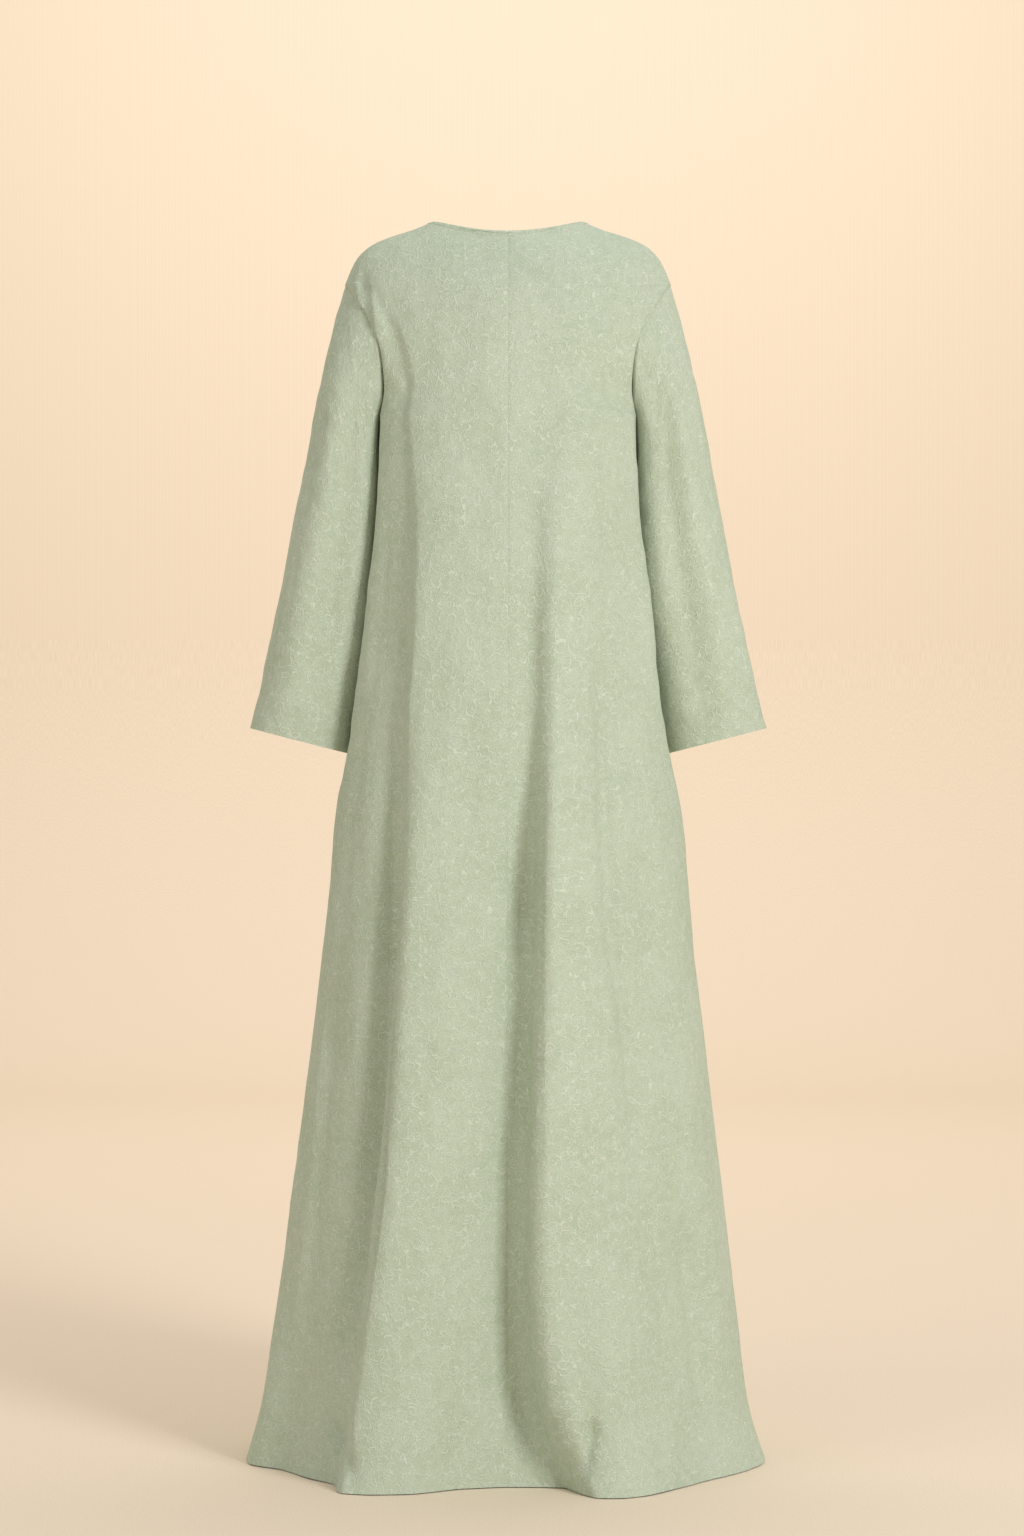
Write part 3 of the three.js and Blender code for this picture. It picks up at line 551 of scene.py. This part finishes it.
# Creases of the back and of the front: kind, line of (across, down) points, width, depth out
BACK_CREASES = [
    ("edge", [(166, 48), (161, 80), (157, 120), (154, 165), (150, 235)], 4, 2.4),  # left drag
    ("soft", [(174, 60), (168, 95), (162, 138)], 6, -3.0),
    ("soft", [(181, 58), (178, 96), (172, 128)], 3, 1.6),
    ("soft", [(142, 78), (140, 130), (136, 200)], 8, -2.0),
    ("soft", [(134, 80), (130, 120), (126, 190)], 12, -2.0),  # left shoulder blade
    ("soft", [(100, 110), (96, 170), (104, 260)], 16, -1.6),
    ("edge", [(-166, 52), (-162, 84), (-157, 124), (-153, 170), (-150, 238)], 4, 2.2),  # right drag
    ("soft", [(-174, 62), (-168, 98), (-161, 140)], 6, -2.6),
    ("soft", [(-141, 84), (-139, 140), (-137, 190)], 9, -1.6),
    ("edge", [(190, 92), (184, 160), (178, 243), (178, 300)], 2.8, 1.0),  # left sleeve's pressed lines
    ("edge", [(211, 184), (213, 260), (212, 329), (216, 420)], 2.8, 0.8),
    ("edge", [(-192, 98), (-186, 170), (-181, 250), (-182, 330)], 2.8, 0.8),  # right sleeve
    ("edge", [(-214, 200), (-215, 280), (-220, 380)], 2.8, 0.7),
    ("soft", [(-120, 90), (-122, 150), (-116, 220)], 14, -1.6),  # right shoulder blade
    ("edge", [(118, 560), (116, 646), (121, 733), (125, 842), (134, 951), (141, 1060),
              (138, 1115), (148, 1190), (161, 1266), (174, 1349), (178, 1411), (184, 1438)], 3, 1.9),
    ("roll", [(-34, 420), (-32, 692), (-30, 920), (-24, 1090), (-24, 1237), (-32, 1350),
              (-48, 1430), (-68, 1472)], 18, 4),
    ("roll", [(-44, 290), (-42, 440), (-40, 600), (-36, 760), (-33, 900)], 14, 6.5),
    ("roll", [(-38, 560), (-35, 760), (-31, 920), (-24, 1090), (-21, 1237), (-28, 1350),
              (-45, 1430), (-63, 1478)], 23, 15),
    ("soft", [(131, 540), (129, 646), (135, 740), (140, 842), (149, 951), (156, 1060), (160, 1150),
              (171, 1230), (186, 1310), (198, 1390), (204, 1440)], 16, -21),
    ("soft", [(214, 900), (220, 1000), (226, 1100), (236, 1200), (247, 1300), (256, 1400)], 9, 5),
    ("edge", [(214, 900), (220, 1000), (229, 1100), (240, 1200), (252, 1300), (262, 1400)], 2, 1.2),
    ("edge", [(-206, 880), (-214, 960), (-228, 1060), (-240, 1190), (-251, 1330), (-258, 1400)], 2, 1.1),
    ("edge", [(-45, 560), (-45, 646), (-45, 822), (-46, 951), (-47, 1040), (-49, 1096), (-49, 1190),
              (-52, 1253), (-58, 1336), (-68, 1411), (-80, 1449)], 3.5, 1.4),
    ("soft", [(-94, 620), (-95, 777), (-95, 908), (-99, 1040), (-121, 1222)], 7, 1.2),
    ("soft", [(-106, 400), (-110, 540), (-115, 700), (-124, 860), (-140, 960), (-150, 1080),
              (-164, 1220), (-178, 1360)], 12, -10),
    ("soft", [(-172, 680), (-176, 777), (-181, 842), (-183, 908), (-188, 1000)], 6, 1.3),
    ("soft", [(-206, 1160), (-219, 1270), (-231, 1370), (-241, 1430), (-246, 1476)], 16, -14),
    ("soft", [(200, 1395), (186, 1440), (174, 1482)], 10, -7.0),  # left break at the floor
    ("soft", [(-98, 1385), (-89, 1432), (-82, 1470)], 10, -11),  # right break at the floor
]
FRONT_CREASES = [
    ("soft", [(182, 70), (166, 110), (152, 160)], 8, -2.0),  # left armhole
    ("soft", [(-182, 66), (-168, 112), (-150, 150)], 7, -1.8),  # right armhole
    ("soft", [(120, 120), (116, 180), (122, 250)], 13, -1.8),  # left chest
    ("soft", [(-108, 110), (-112, 170), (-104, 260)], 14, -1.6),  # right chest
    ("roll", [(-60, 420), (-66, 640), (-72, 860), (-84, 1080), (-96, 1290), (-104, 1470)], 17, 4.2),
    ("edge", [(92, 600), (104, 800), (120, 1000), (134, 1200), (150, 1420)], 3.5, 1.2),
    ("soft", [(20, 560), (16, 800), (10, 1060), (6, 1300)], 11, -2.2),
    ("soft", [(110, 1400), (104, 1440), (98, 1475)], 9, -3.0),  # left break at the floor
    ("soft", [(-150, 1410), (-160, 1440), (-170, 1476)], 8, -2.8),  # right break at the floor
]
# Unevenness of the cloth: length of its waves, how far they are drawn out downwards, seed
BROAD = (90, 2.4, RIPPLE_SEED)
BROAD_HEIGHT = 0.9
SMALL = (24, 1.6, RIPPLE_SEED + 1)
SMALL_HEIGHT = 0.28
SEAM_CALM = 30  # distance from a seam within which the unevenness fades out
FACING = 0.35  # how squarely a point must face a side to take all of that side's creases


def worked(part, fades=True):
    """The part's grid with its creases, unevenness and sunk seams."""
    grid = part["grid"]
    normals = part["normals"]
    out = ripples(grid, *BROAD) * BROAD_HEIGHT
    out += ripples(grid, *SMALL) * SMALL_HEIGHT
    if fades:
        out *= ramp(part["seam"], 0, SEAM_CALM)
    for face, creases in ((BACK, BACK_CREASES), (FRONT, FRONT_CREASES)):
        facing = ramp(normals[..., 1] * face, 0.0, FACING)
        for kind, line, width, depth in creases:
            out += crease(grid, facing, kind, line, width, depth)
    out -= SEAM_DIP * np.exp(-part["seam"] / SEAM_REACH)
    return grid + normals * out[..., None]


# ---------------------------------------------------------------- meshes
CLOTH_PLACE = "cloth_place"  # name of the attribute that holds places on the flat cloth
CLOTH_STEP = np.array([37.0, 61.0, 0])  # from one place on the roll of cloth to the next
CLOTH_STEPS = 97
SHARP_ANGLE = 50  # edges turned by more degrees than this stay sharp


def mesh_object(name, points, faces, material, cloth=None):
    """A smooth mesh object from points in millimetres; cloth is each point's place on the cut."""
    mesh = bpy.data.meshes.new(name)
    mesh.from_pydata((points * MM).tolist(), [], faces)
    mesh.polygons.foreach_set("use_smooth", [True] * len(mesh.polygons))
    mesh.set_sharp_from_angle(angle=math.radians(SHARP_ANGLE))
    mesh.materials.append(material)
    places = points if cloth is None else cloth
    attribute = mesh.attributes.new(CLOTH_PLACE, "FLOAT_VECTOR", "POINT")
    attribute.data.foreach_set("vector", (places * MM).astype(np.float32).ravel())
    mesh.update()
    made = bpy.data.objects.new(name, mesh)
    bpy.context.scene.collection.objects.link(made)
    return made


def shell(name, part, outer, thickness, material, ring=False):
    """A closed thin wall whose outer side is the grid."""
    rows, columns = outer.shape[:2]
    inner = outer - part["normals"] * np.asarray(thickness, float).reshape(-1, 1, 1)
    points = np.concatenate([outer.reshape(-1, 3), inner.reshape(-1, 3)])
    index = np.arange(rows * columns).reshape(rows, columns)
    if ring:
        index = np.concatenate([index, index[:, :1]], 1)
    far = index + rows * columns

    def quads(a, b, c, d):
        return np.stack([a.ravel(), b.ravel(), c.ravel(), d.ravel()], 1)

    faces = [
        quads(index[:-1, :-1], index[1:, :-1], index[1:, 1:], index[:-1, 1:]),
        quads(far[:-1, :-1], far[:-1, 1:], far[1:, 1:], far[1:, :-1]),
        quads(index[0, :-1], index[0, 1:], far[0, 1:], far[0, :-1]),
        quads(index[-1, :-1], far[-1, :-1], far[-1, 1:], index[-1, 1:]),
    ]
    if not ring:
        faces.append(quads(index[:-1, 0], far[:-1, 0], far[1:, 0], index[1:, 0]))
        faces.append(quads(index[:-1, -1], index[1:, -1], far[1:, -1], far[:-1, -1]))
    cloth = np.tile(part["cloth"].reshape(-1, 3), (2, 1)) + cloth_offset(name)
    return mesh_object(name, points, np.concatenate(faces).tolist(), material, cloth)


def cloth_offset(name):
    """A piece's own place on the roll of cloth, so that no two pieces repeat its relief."""
    return CLOTH_STEP * (1 + sum(name.encode()) % CLOTH_STEPS)


STITCH_LENGTH = 2.6
STITCH_PITCH = 3.4
STITCH_RADIUS = 0.28
STITCH_SIDES = 5
STITCH_SINK = 0.6  # share of the radius by which a stitch lies in the cloth
STITCH_PROFILE = table("share radius", (0, 0.35), (0.15, 1), (0.85, 1), (1, 0.35))


def stitches(name, path, normals, material):
    """A line of stitches lying on the cloth along a path of points."""
    length = along(path)
    count = int(length[-1] / STITCH_PITCH)
    points = []
    faces = []
    rings = len(STITCH_PROFILE["share"])
    turn = np.linspace(0, 2 * math.pi, STITCH_SIDES, endpoint=False)

    def at(values, distance):
        return np.array([np.interp(distance, length, values[:, axis]) for axis in range(3)])

    for i in range(count):
        start = (i + 0.5) * length[-1] / count - STITCH_LENGTH / 2
        ends = [at(path, start), at(path, start + STITCH_LENGTH)]
        up = unit(at(normals, start + STITCH_LENGTH / 2))
        side = unit(np.cross(ends[1] - ends[0], up))
        first = len(points)
        for share, radius in zip(STITCH_PROFILE["share"], STITCH_PROFILE["radius"]):
            rise = up * STITCH_RADIUS * (radius - STITCH_SINK)
            middle = ends[0] * (1 - share) + ends[1] * share + rise
            for angle in turn:
                spoke = side * math.cos(angle) + up * math.sin(angle)
                points.append(middle + spoke * STITCH_RADIUS * radius)
        for ring in range(rings - 1):
            for j in range(STITCH_SIDES):
                a = first + ring * STITCH_SIDES + j
                b = first + ring * STITCH_SIDES + (j + 1) % STITCH_SIDES
                faces.append([a, b, b + STITCH_SIDES, a + STITCH_SIDES])
        faces.append([first + j for j in reversed(range(STITCH_SIDES))])
        last = first + (rings - 1) * STITCH_SIDES
        faces.append([last + j for j in range(STITCH_SIDES)])
    return mesh_object(name, np.array(points), faces, material)


def level_path(outer, normals, height):
    """The line on a grid that lies that far above its last row."""
    path = []
    directions = []
    for column in range(outer.shape[1]):
        up = outer[::-1, column]
        distance = along(up)
        path.append([np.interp(height, distance, up[:, axis]) for axis in range(3)])
        row = np.searchsorted(distance, height)
        directions.append(normals[::-1][row, column])
    return np.array(path), np.array(directions)


# ---------------------------------------------------------------- materials
class Tree:
    """A material's nodes, added by short calls."""

    def __init__(self, name):
        self.material = bpy.data.materials.new(name)
        self.material.use_nodes = True
        self.nodes = self.material.node_tree.nodes
        self.links = self.material.node_tree.links
        self.nodes.clear()

    def put(self, socket, value):
        if isinstance(value, bpy.types.NodeSocket):
            self.links.new(value, socket)
        else:
            socket.default_value = value

    def add(self, kind, settings=None, **inputs):
        node = self.nodes.new("ShaderNode" + kind)
        for key, value in (settings or {}).items():
            setattr(node, key, value)
        for key, value in inputs.items():
            self.put(node.inputs[key.replace("_", " ")], value)
        return node

    def math(self, operation, *values):
        node = self.add("Math", {"operation": operation})
        for socket, value in zip(node.inputs, values):
            self.put(socket, value)
        return node.outputs[0]

    def vector(self, operation, *values):
        node = self.add("VectorMath", {"operation": operation})
        for socket, value in zip(node.inputs, values):
            self.put(socket, value)
        return node.outputs[0]

    def noise(self, where, scale, detail=2.0, roughness=0.5):
        settings = {"noise_dimensions": "2D"}
        return self.add(
            "TexNoise", settings, Vector=where, Scale=scale, Detail=detail, Roughness=roughness
        )

    def remap(self, value, low, high, to_low=0.0, to_high=1.0):
        node = self.add("MapRange", {"interpolation_type": "SMOOTHSTEP"}, Value=value)
        node.inputs["From Min"].default_value = low
        node.inputs["From Max"].default_value = high
        node.inputs["To Min"].default_value = to_low
        node.inputs["To Max"].default_value = to_high
        return node.outputs[0]

    def mix(self, share, a, b):
        node = self.add("Mix", {"data_type": "RGBA"})
        self.put(node.inputs["Factor"], share)
        self.put(node.inputs[6], a)
        self.put(node.inputs[7], b)
        return node.outputs[2]


GROUND = (0.470, 0.540, 0.423, 1)  # the crepe's own colour
PALE_TONE_AND_HIGHLIGHT = (0.590, 0.650, 0.542, 1)  # paler patches at random, and the painted highlight on the raised curls
HOLLOW_SHADE = (0.436, 0.508, 0.384, 1)  # painted shade in the hollows between them
THREAD = (0.56, 0.61, 0.45, 1)
CURLS = ((62.0, 0.001), (84.0, 0.0009), (74.0, 0.0009))  # centres in a metre, half width in metres
CURL_RADIUS = 0.26  # of the smallest, as a share of the distance between centres
CURL_SPREAD = 0.22  # what the largest adds to it
CURL_WARP = 0.0055  # metres
STRAYS = {"scale": 66.0, "half_width": 0.0002, "level": 0.5}


def shifted(tree, where, x, y):
    """The same place on another part of the pattern."""
    return tree.vector("ADD", where, (x, y, 0.0))


def warped(tree, where, scale, reach):
    """Places moved unevenly, by up to about reach metres over 1 / scale metres."""
    noise = tree.noise(where, scale, 1.0)
    centred = tree.vector("SUBTRACT", noise.outputs["Color"], (0.5, 0.5, 0.5))
    moved = tree.vector("MULTIPLY", centred, (2 * reach, 2 * reach, 0.0))
    return tree.vector("ADD", where, moved)


def stripe(tree, distance, half_width):
    """1 on a line and 0 beyond its half width, with soft sides."""
    return tree.remap(tree.math("ABSOLUTE", distance), half_width, 0.25 * half_width)


def curls(tree, where, scale, half_width, seed):
    """Broken arcs and loops, each round its own centre, about 1 / scale metres apart."""
    place = warped(tree, shifted(tree, where, 0.37 * seed, 0.91 * seed), scale * 0.8, CURL_WARP)
    cells = tree.add(
        "TexVoronoi", {"voronoi_dimensions": "2D", "feature": "F1"}, Vector=place, Scale=scale
    )
    tint = tree.add("SeparateColor", Color=cells.outputs["Color"])
    radius = tree.math("MULTIPLY_ADD", tint.outputs[0], CURL_SPREAD, CURL_RADIUS)
    ring = tree.math("SUBTRACT", cells.outputs["Distance"], radius)
    line = stripe(tree, ring, half_width * scale)
    breaks = tree.noise(shifted(tree, where, 0.53 * seed, 0.29 * seed), scale * 1.5, 0.0)
    strength = tree.remap(breaks.outputs[0], 0.34, 0.54)
    return tree.math("MULTIPLY", line, strength)


def strays(tree, where, scale, half_width, level, seed):
    """Long winding lines that break off, where a smooth noise passes a level."""
    place = shifted(tree, where, 0.83 * seed, 0.17 * seed)
    noise = tree.noise(place, scale, 1.0, 0.4).outputs[0]
    line = stripe(tree, tree.math("SUBTRACT", noise, level), half_width * scale * 1.6)
    breaks = tree.noise(shifted(tree, where, 0.11 * seed, 0.71 * seed), scale * 1.7, 0.0)
    return tree.math("MULTIPLY", line, tree.remap(breaks.outputs[0], 0.46, 0.56))


def crepe(name, tone=1.0):
    """Crinkled crepe: ground with painted shade in the hollows of its relief, fine grain, and raised
    curls in a paler tint of its own colour, a painted highlight.
    """
    tree = Tree(name)
    where = tree.add("Attribute", {"attribute_name": CLOTH_PLACE}).outputs["Vector"]
    lines = strays(tree, where, seed=len(CURLS) + 1, **STRAYS)
    for seed, (scale, half_width) in enumerate(CURLS, 1):
        lines = tree.math("MAXIMUM", lines, curls(tree, where, scale, half_width, seed))
    relief_and_shade = tree.noise(where, 85.0, 3.0, 0.55).outputs[0]
    broad = tree.noise(shifted(tree, where, 2.0, 5.0), 11.0, 2.0).outputs[0]
    grain = tree.noise(where, 620.0, 1.0).outputs[0]
    # painted shade: the ground darkens where the relief sinks into hollows
    ground = tree.mix(tree.remap(relief_and_shade, 0.36, 0.64), HOLLOW_SHADE, GROUND)
    ground = tree.mix(tree.remap(broad, 0.35, 0.65, 0.0, 0.2), ground, PALE_TONE_AND_HIGHLIGHT)
    # painted highlight: the raised curls and strays are coloured in the paler tint
    colour = tree.mix(tree.math("MULTIPLY", lines, 0.8), ground, PALE_TONE_AND_HIGHLIGHT)
    speck = tree.remap(grain, 0.3, 0.7, 0.93 * tone, 1.07 * tone)
    speck = tree.add("CombineXYZ", X=speck, Y=speck, Z=speck).outputs[0]
    colour = tree.vector("MULTIPLY", colour, speck)
    height = tree.math("MULTIPLY_ADD", relief_and_shade, 0.4, tree.math("MULTIPLY", lines, 0.7))
    height = tree.math("MULTIPLY_ADD", grain, 0.25, height)
    bump = tree.add("Bump", Strength=0.7, Distance=0.0009, Height=height)
    shader = tree.add("BsdfPrincipled", Base_Color=colour, Roughness=0.85, Normal=bump.outputs[0])
    shader.inputs["Specular IOR Level"].default_value = 0.2
    shader.inputs["Sheen Weight"].default_value = 0.15
    shader.inputs["Sheen Roughness"].default_value = 0.5
    shader.inputs["Sheen Tint"].default_value = (0.9, 1.0, 0.85, 1)
    tree.add("OutputMaterial", Surface=shader.outputs[0])
    return tree.material


def plain(name, colour, roughness):
    """A matte material of one slightly uneven colour."""
    tree = Tree(name)
    where = tree.add("TexCoord").outputs["Object"]
    spots = tree.noise(where, 400.0).outputs[0]
    dark = tuple(0.93 * c for c in colour[:3]) + (1,)
    shade = tree.mix(tree.remap(spots, 0.3, 0.7), dark, colour)
    shader = tree.add("BsdfPrincipled", Base_Color=shade, Roughness=roughness)
    tree.add("OutputMaterial", Surface=shader.outputs[0])
    return tree.material


# ---------------------------------------------------------------- the pieces
CREPE = crepe("crinkled_crepe")
TRIM = crepe("doubled_crepe", 0.98)
SEWING = plain("sewing_thread", THREAD, 0.7)
PANEL_COLUMNS = 186
FRONT_COLUMNS = 210


def dress_piece(obj, node):
    """A piece that rides on the body, and stands for its CAD solid where it has one."""
    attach(obj, "root")
    if node:
        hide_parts(node)
    return obj


def make_panel(node, face, first, last, columns):
    """A panel with its hem stitching; returns the panel and the stitching."""
    part = panel(face, first, last, columns)
    outer = worked(part)
    outer[-1, :, 2] = np.maximum(outer[-1, :, 2], -LENGTH)
    height = LENGTH - np.array([down_of(s) if s > 2 else 0 for s in part["stations"]])
    thickness = CLOTH + (HEM_CLOTH - CLOTH) * ramp(-height, -HEM_TURN - 1, -HEM_TURN + 1)
    cloth = shell(node + "_cloth", part, outer, thickness, CREPE)
    dress_piece(cloth, node)
    path, directions = level_path(outer, part["normals"], HEM_STITCH)
    sewing = stitches(node + "_hem_stitching", path, directions, SEWING)
    dress_piece(sewing, None)
    return cloth, sewing


def mirrored(part):
    """The right-hand sleeve or cuff of a left-hand one."""
    flip = np.array([-1, 1, 1])
    turned = dict(part)
    for name in ("grid", "normals"):
        turned[name] = (part[name] * flip)[:, ::-1]
    for name in ("seam", "cloth"):
        turned[name] = part[name][:, ::-1]
    return turned


def make_sleeve(side, name):
    """A sleeve and its cuff with the cuff's stitching."""
    flip = mirrored if side < 0 else dict
    part = flip(tube(np.linspace(0, CUFF_SEAM + SLEEVE_TUCK, SLEEVE_STEPS), 0))
    thickness = [CLOTH] * SLEEVE_STEPS
    cloth = shell("sleeve_" + name + "_cloth", part, worked(part), thickness, CREPE, True)
    dress_piece(cloth, "sleeve_" + name)
    part = flip(tube(np.linspace(CUFF_SEAM, CUFF_EDGE, CUFF_STEPS), CUFF_PROUD))
    outer = worked(part, fades=False)
    thickness = [CUFF_CLOTH] * CUFF_STEPS
    cuff = shell("cuff_" + name + "_cloth", part, outer, thickness, TRIM, True)
    dress_piece(cuff, "cuff_" + name)
    path, directions = level_path(outer, part["normals"], CUFF_STITCH)
    closed = np.concatenate([path, path[:1]])
    sewing = stitches(
        "cuff_" + name + "_stitching", closed, np.concatenate([directions, directions[:1]]), SEWING
    )
    dress_piece(sewing, None)
    return cloth, cuff, sewing


BINDING_COLUMNS = 150  # columns on each face
BINDING_SIDES = 14
BINDING_FULLNESS = 0.6  # 1 is an oval section, and less is squarer
BINDING_STITCH = 1.6  # distance of the stitching from the binding's lower edge
NECK_END = 89.9  # points further across than this lie on the shoulder line


def squared(values):
    """Sines or cosines of an oval, filled out towards those of a rectangle."""
    return np.sign(values) * np.abs(values) ** BINDING_FULLNESS


def make_binding():
    """The folded strip round the neck, with its stitching."""
    turn = np.linspace(0, 2 * math.pi, BINDING_SIDES, endpoint=False)
    down = BINDING_WIDTH / 2 * (1 - squared(np.cos(turn)))
    out = BINDING_PROUD - BINDING_CLOTH / 2 * (1 - squared(np.sin(turn)))
    rings = []
    lower = []
    directions = []
    for face, lines in ((BACK, BACK_FOLDS), (FRONT, FRONT_FOLDS)):
        places = np.linspace(0, len(lines["angle"]) - 1, BINDING_COLUMNS, endpoint=False)
        edge = panel_row(face, places, 0)
        fall = neck_fall(face, places)
        rows = np.array([edge, edge + fall])
        normal = grid_normals(rows)[0]
        ends = np.abs(edge[:, 0]) > NECK_END
        normal[ends, 1] = 0
        normal = unit(normal)
        for k in range(BINDING_COLUMNS):
            rings.append(edge[k] + fall[k] * down[:, None] + normal[k] * out[:, None])
            stitched = edge[k] + fall[k] * (BINDING_WIDTH - BINDING_STITCH)
            lower.append(stitched + normal[k] * BINDING_PROUD)
            directions.append(normal[k])
    rings = np.array(rings)
    count = len(rings)
    index = np.arange(count * BINDING_SIDES).reshape(count, BINDING_SIDES)
    right = np.roll(index, -1, 0)
    faces = np.stack([index, right, np.roll(right, -1, 1), np.roll(index, -1, 1)], -1).reshape(-1, 4)
    binding = mesh_object("neck_binding_cloth", rings.reshape(-1, 3), faces.tolist(), TRIM)
    dress_piece(binding, "neck_binding")
    path = np.array(lower + lower[:1])
    sewing = stitches("neck_stitching", path, np.array(directions + directions[:1]), SEWING)
    dress_piece(sewing, None)
    return binding, sewing


back_left, back_left_hem = make_panel("back_left", BACK, 0, CENTRE_BACK, PANEL_COLUMNS)
back_right, back_right_hem = make_panel(
    "back_right", BACK, CENTRE_BACK, len(BACK_FOLDS["angle"]) - 1, PANEL_COLUMNS
)
front, front_hem = make_panel("front", FRONT, 0, len(FRONT_FOLDS["angle"]) - 1, FRONT_COLUMNS)
binding, binding_sewing = make_binding()
sleeves = {name: make_sleeve(side, name) for side, name in ((1, "left"), (-1, "right"))}

# ---------------------------------------------------------------- floor, light, camera
# All in metres
FLOOR_COLOUR = (0.89, 0.755, 0.61, 1)
FLOOR_REACH = 9.0  # to each side, and behind the camera
FLOOR_GAP = 0.0012  # from the hem down to the floor
WALL_PLACE = -6.0  # behind the dress as the camera sees it
WALL_HEIGHT = 8.0
WALL_CURVE = 1.2  # radius between the floor and the wall
CURVE_STEPS = 12


def stage():
    """A pale floor that curves up into a backdrop."""
    foot = WALL_PLACE + WALL_CURVE
    profile = [(FLOOR_REACH, 0.0), (foot, 0.0)]
    for i in range(1, CURVE_STEPS + 1):
        angle = math.pi / 2 * i / CURVE_STEPS
        rise = WALL_CURVE - WALL_CURVE * math.cos(angle)
        profile.append((foot - WALL_CURVE * math.sin(angle), rise))
    profile.append((WALL_PLACE, WALL_HEIGHT))
    floor = -LENGTH * MM - FLOOR_GAP
    points = [(x, y, floor + z) for y, z in profile for x in (-FLOOR_REACH, FLOOR_REACH)]
    faces = [(2 * i, 2 * i + 1, 2 * i + 3, 2 * i + 2) for i in range(len(profile) - 1)]
    paper = plain("studio_paper", FLOOR_COLOUR, 0.9)
    mesh_object("studio_floor", np.array(points) / MM, faces, paper)


WORLD_COLOUR = (1.0, 0.98, 0.88, 1)
WORLD_STRENGTH = 0.47
DRESS_MIDDLE = (0, 0, -0.7)
WARM = (1.0, 0.96, 0.92)
# Name, place, target, size across and down, power and colour of each light
LIGHTS = (
    ("key", (-2.7, 3.7, 1.0), DRESS_MIDDLE, (1.2, 2.0), 136, (0.985, 0.99, 1.0)),
    ("fill", (2.9, 2.6, 0.4), DRESS_MIDDLE, (2.0, 2.4), 22, (1.0, 1.0, 0.98)),
    ("wash", (0.0, -1.2, 2.6), (0.0, -3.0, -0.6), (3.0, 1.2), 48, WARM),  # floor behind
    ("far_wash", (0.0, -3.6, 2.6), (0.0, -5.8, -0.6), (4.0, 1.2), 53, WARM),  # wall
)


def area_light(name, place, target, size, power, colour):
    """A rectangular lamp that points at its target."""
    light = bpy.data.lights.new(name, "AREA")
    light.shape = "RECTANGLE"
    light.size, light.size_y = size
    light.energy = power
    light.color = colour
    lamp = bpy.data.objects.new(name, light)
    lamp.location = place
    lamp.rotation_euler = (Vector(target) - Vector(place)).to_track_quat("-Z", "Y").to_euler()
    bpy.context.scene.collection.objects.link(lamp)


def lights():
    """Soft studio light, mostly from the camera's right and above."""
    world = bpy.data.worlds.new("studio")
    world.use_nodes = True
    background = world.node_tree.nodes["Background"]
    background.inputs["Color"].default_value = WORLD_COLOUR
    background.inputs["Strength"].default_value = WORLD_STRENGTH
    bpy.context.scene.world = world
    for settings in LIGHTS:
        area_light(*settings)


CAMERA_PLACE = (-0.0048, 4.352, -0.655)
CAMERA_LENS = 85.0
CAMERA_SENSOR = 36.0  # along the image's long side


def camera():
    """The camera, level behind the dress."""
    data = bpy.data.cameras.new("camera")
    data.lens = CAMERA_LENS
    data.sensor_width = CAMERA_SENSOR
    made = bpy.data.objects.new("camera", data)
    made.location = CAMERA_PLACE
    made.rotation_euler = (math.pi / 2, 0, math.pi)
    bpy.context.scene.collection.objects.link(made)
    bpy.context.scene.camera = made


stage()
lights()
camera()
bpy.context.scene.view_settings.view_transform = "Standard"
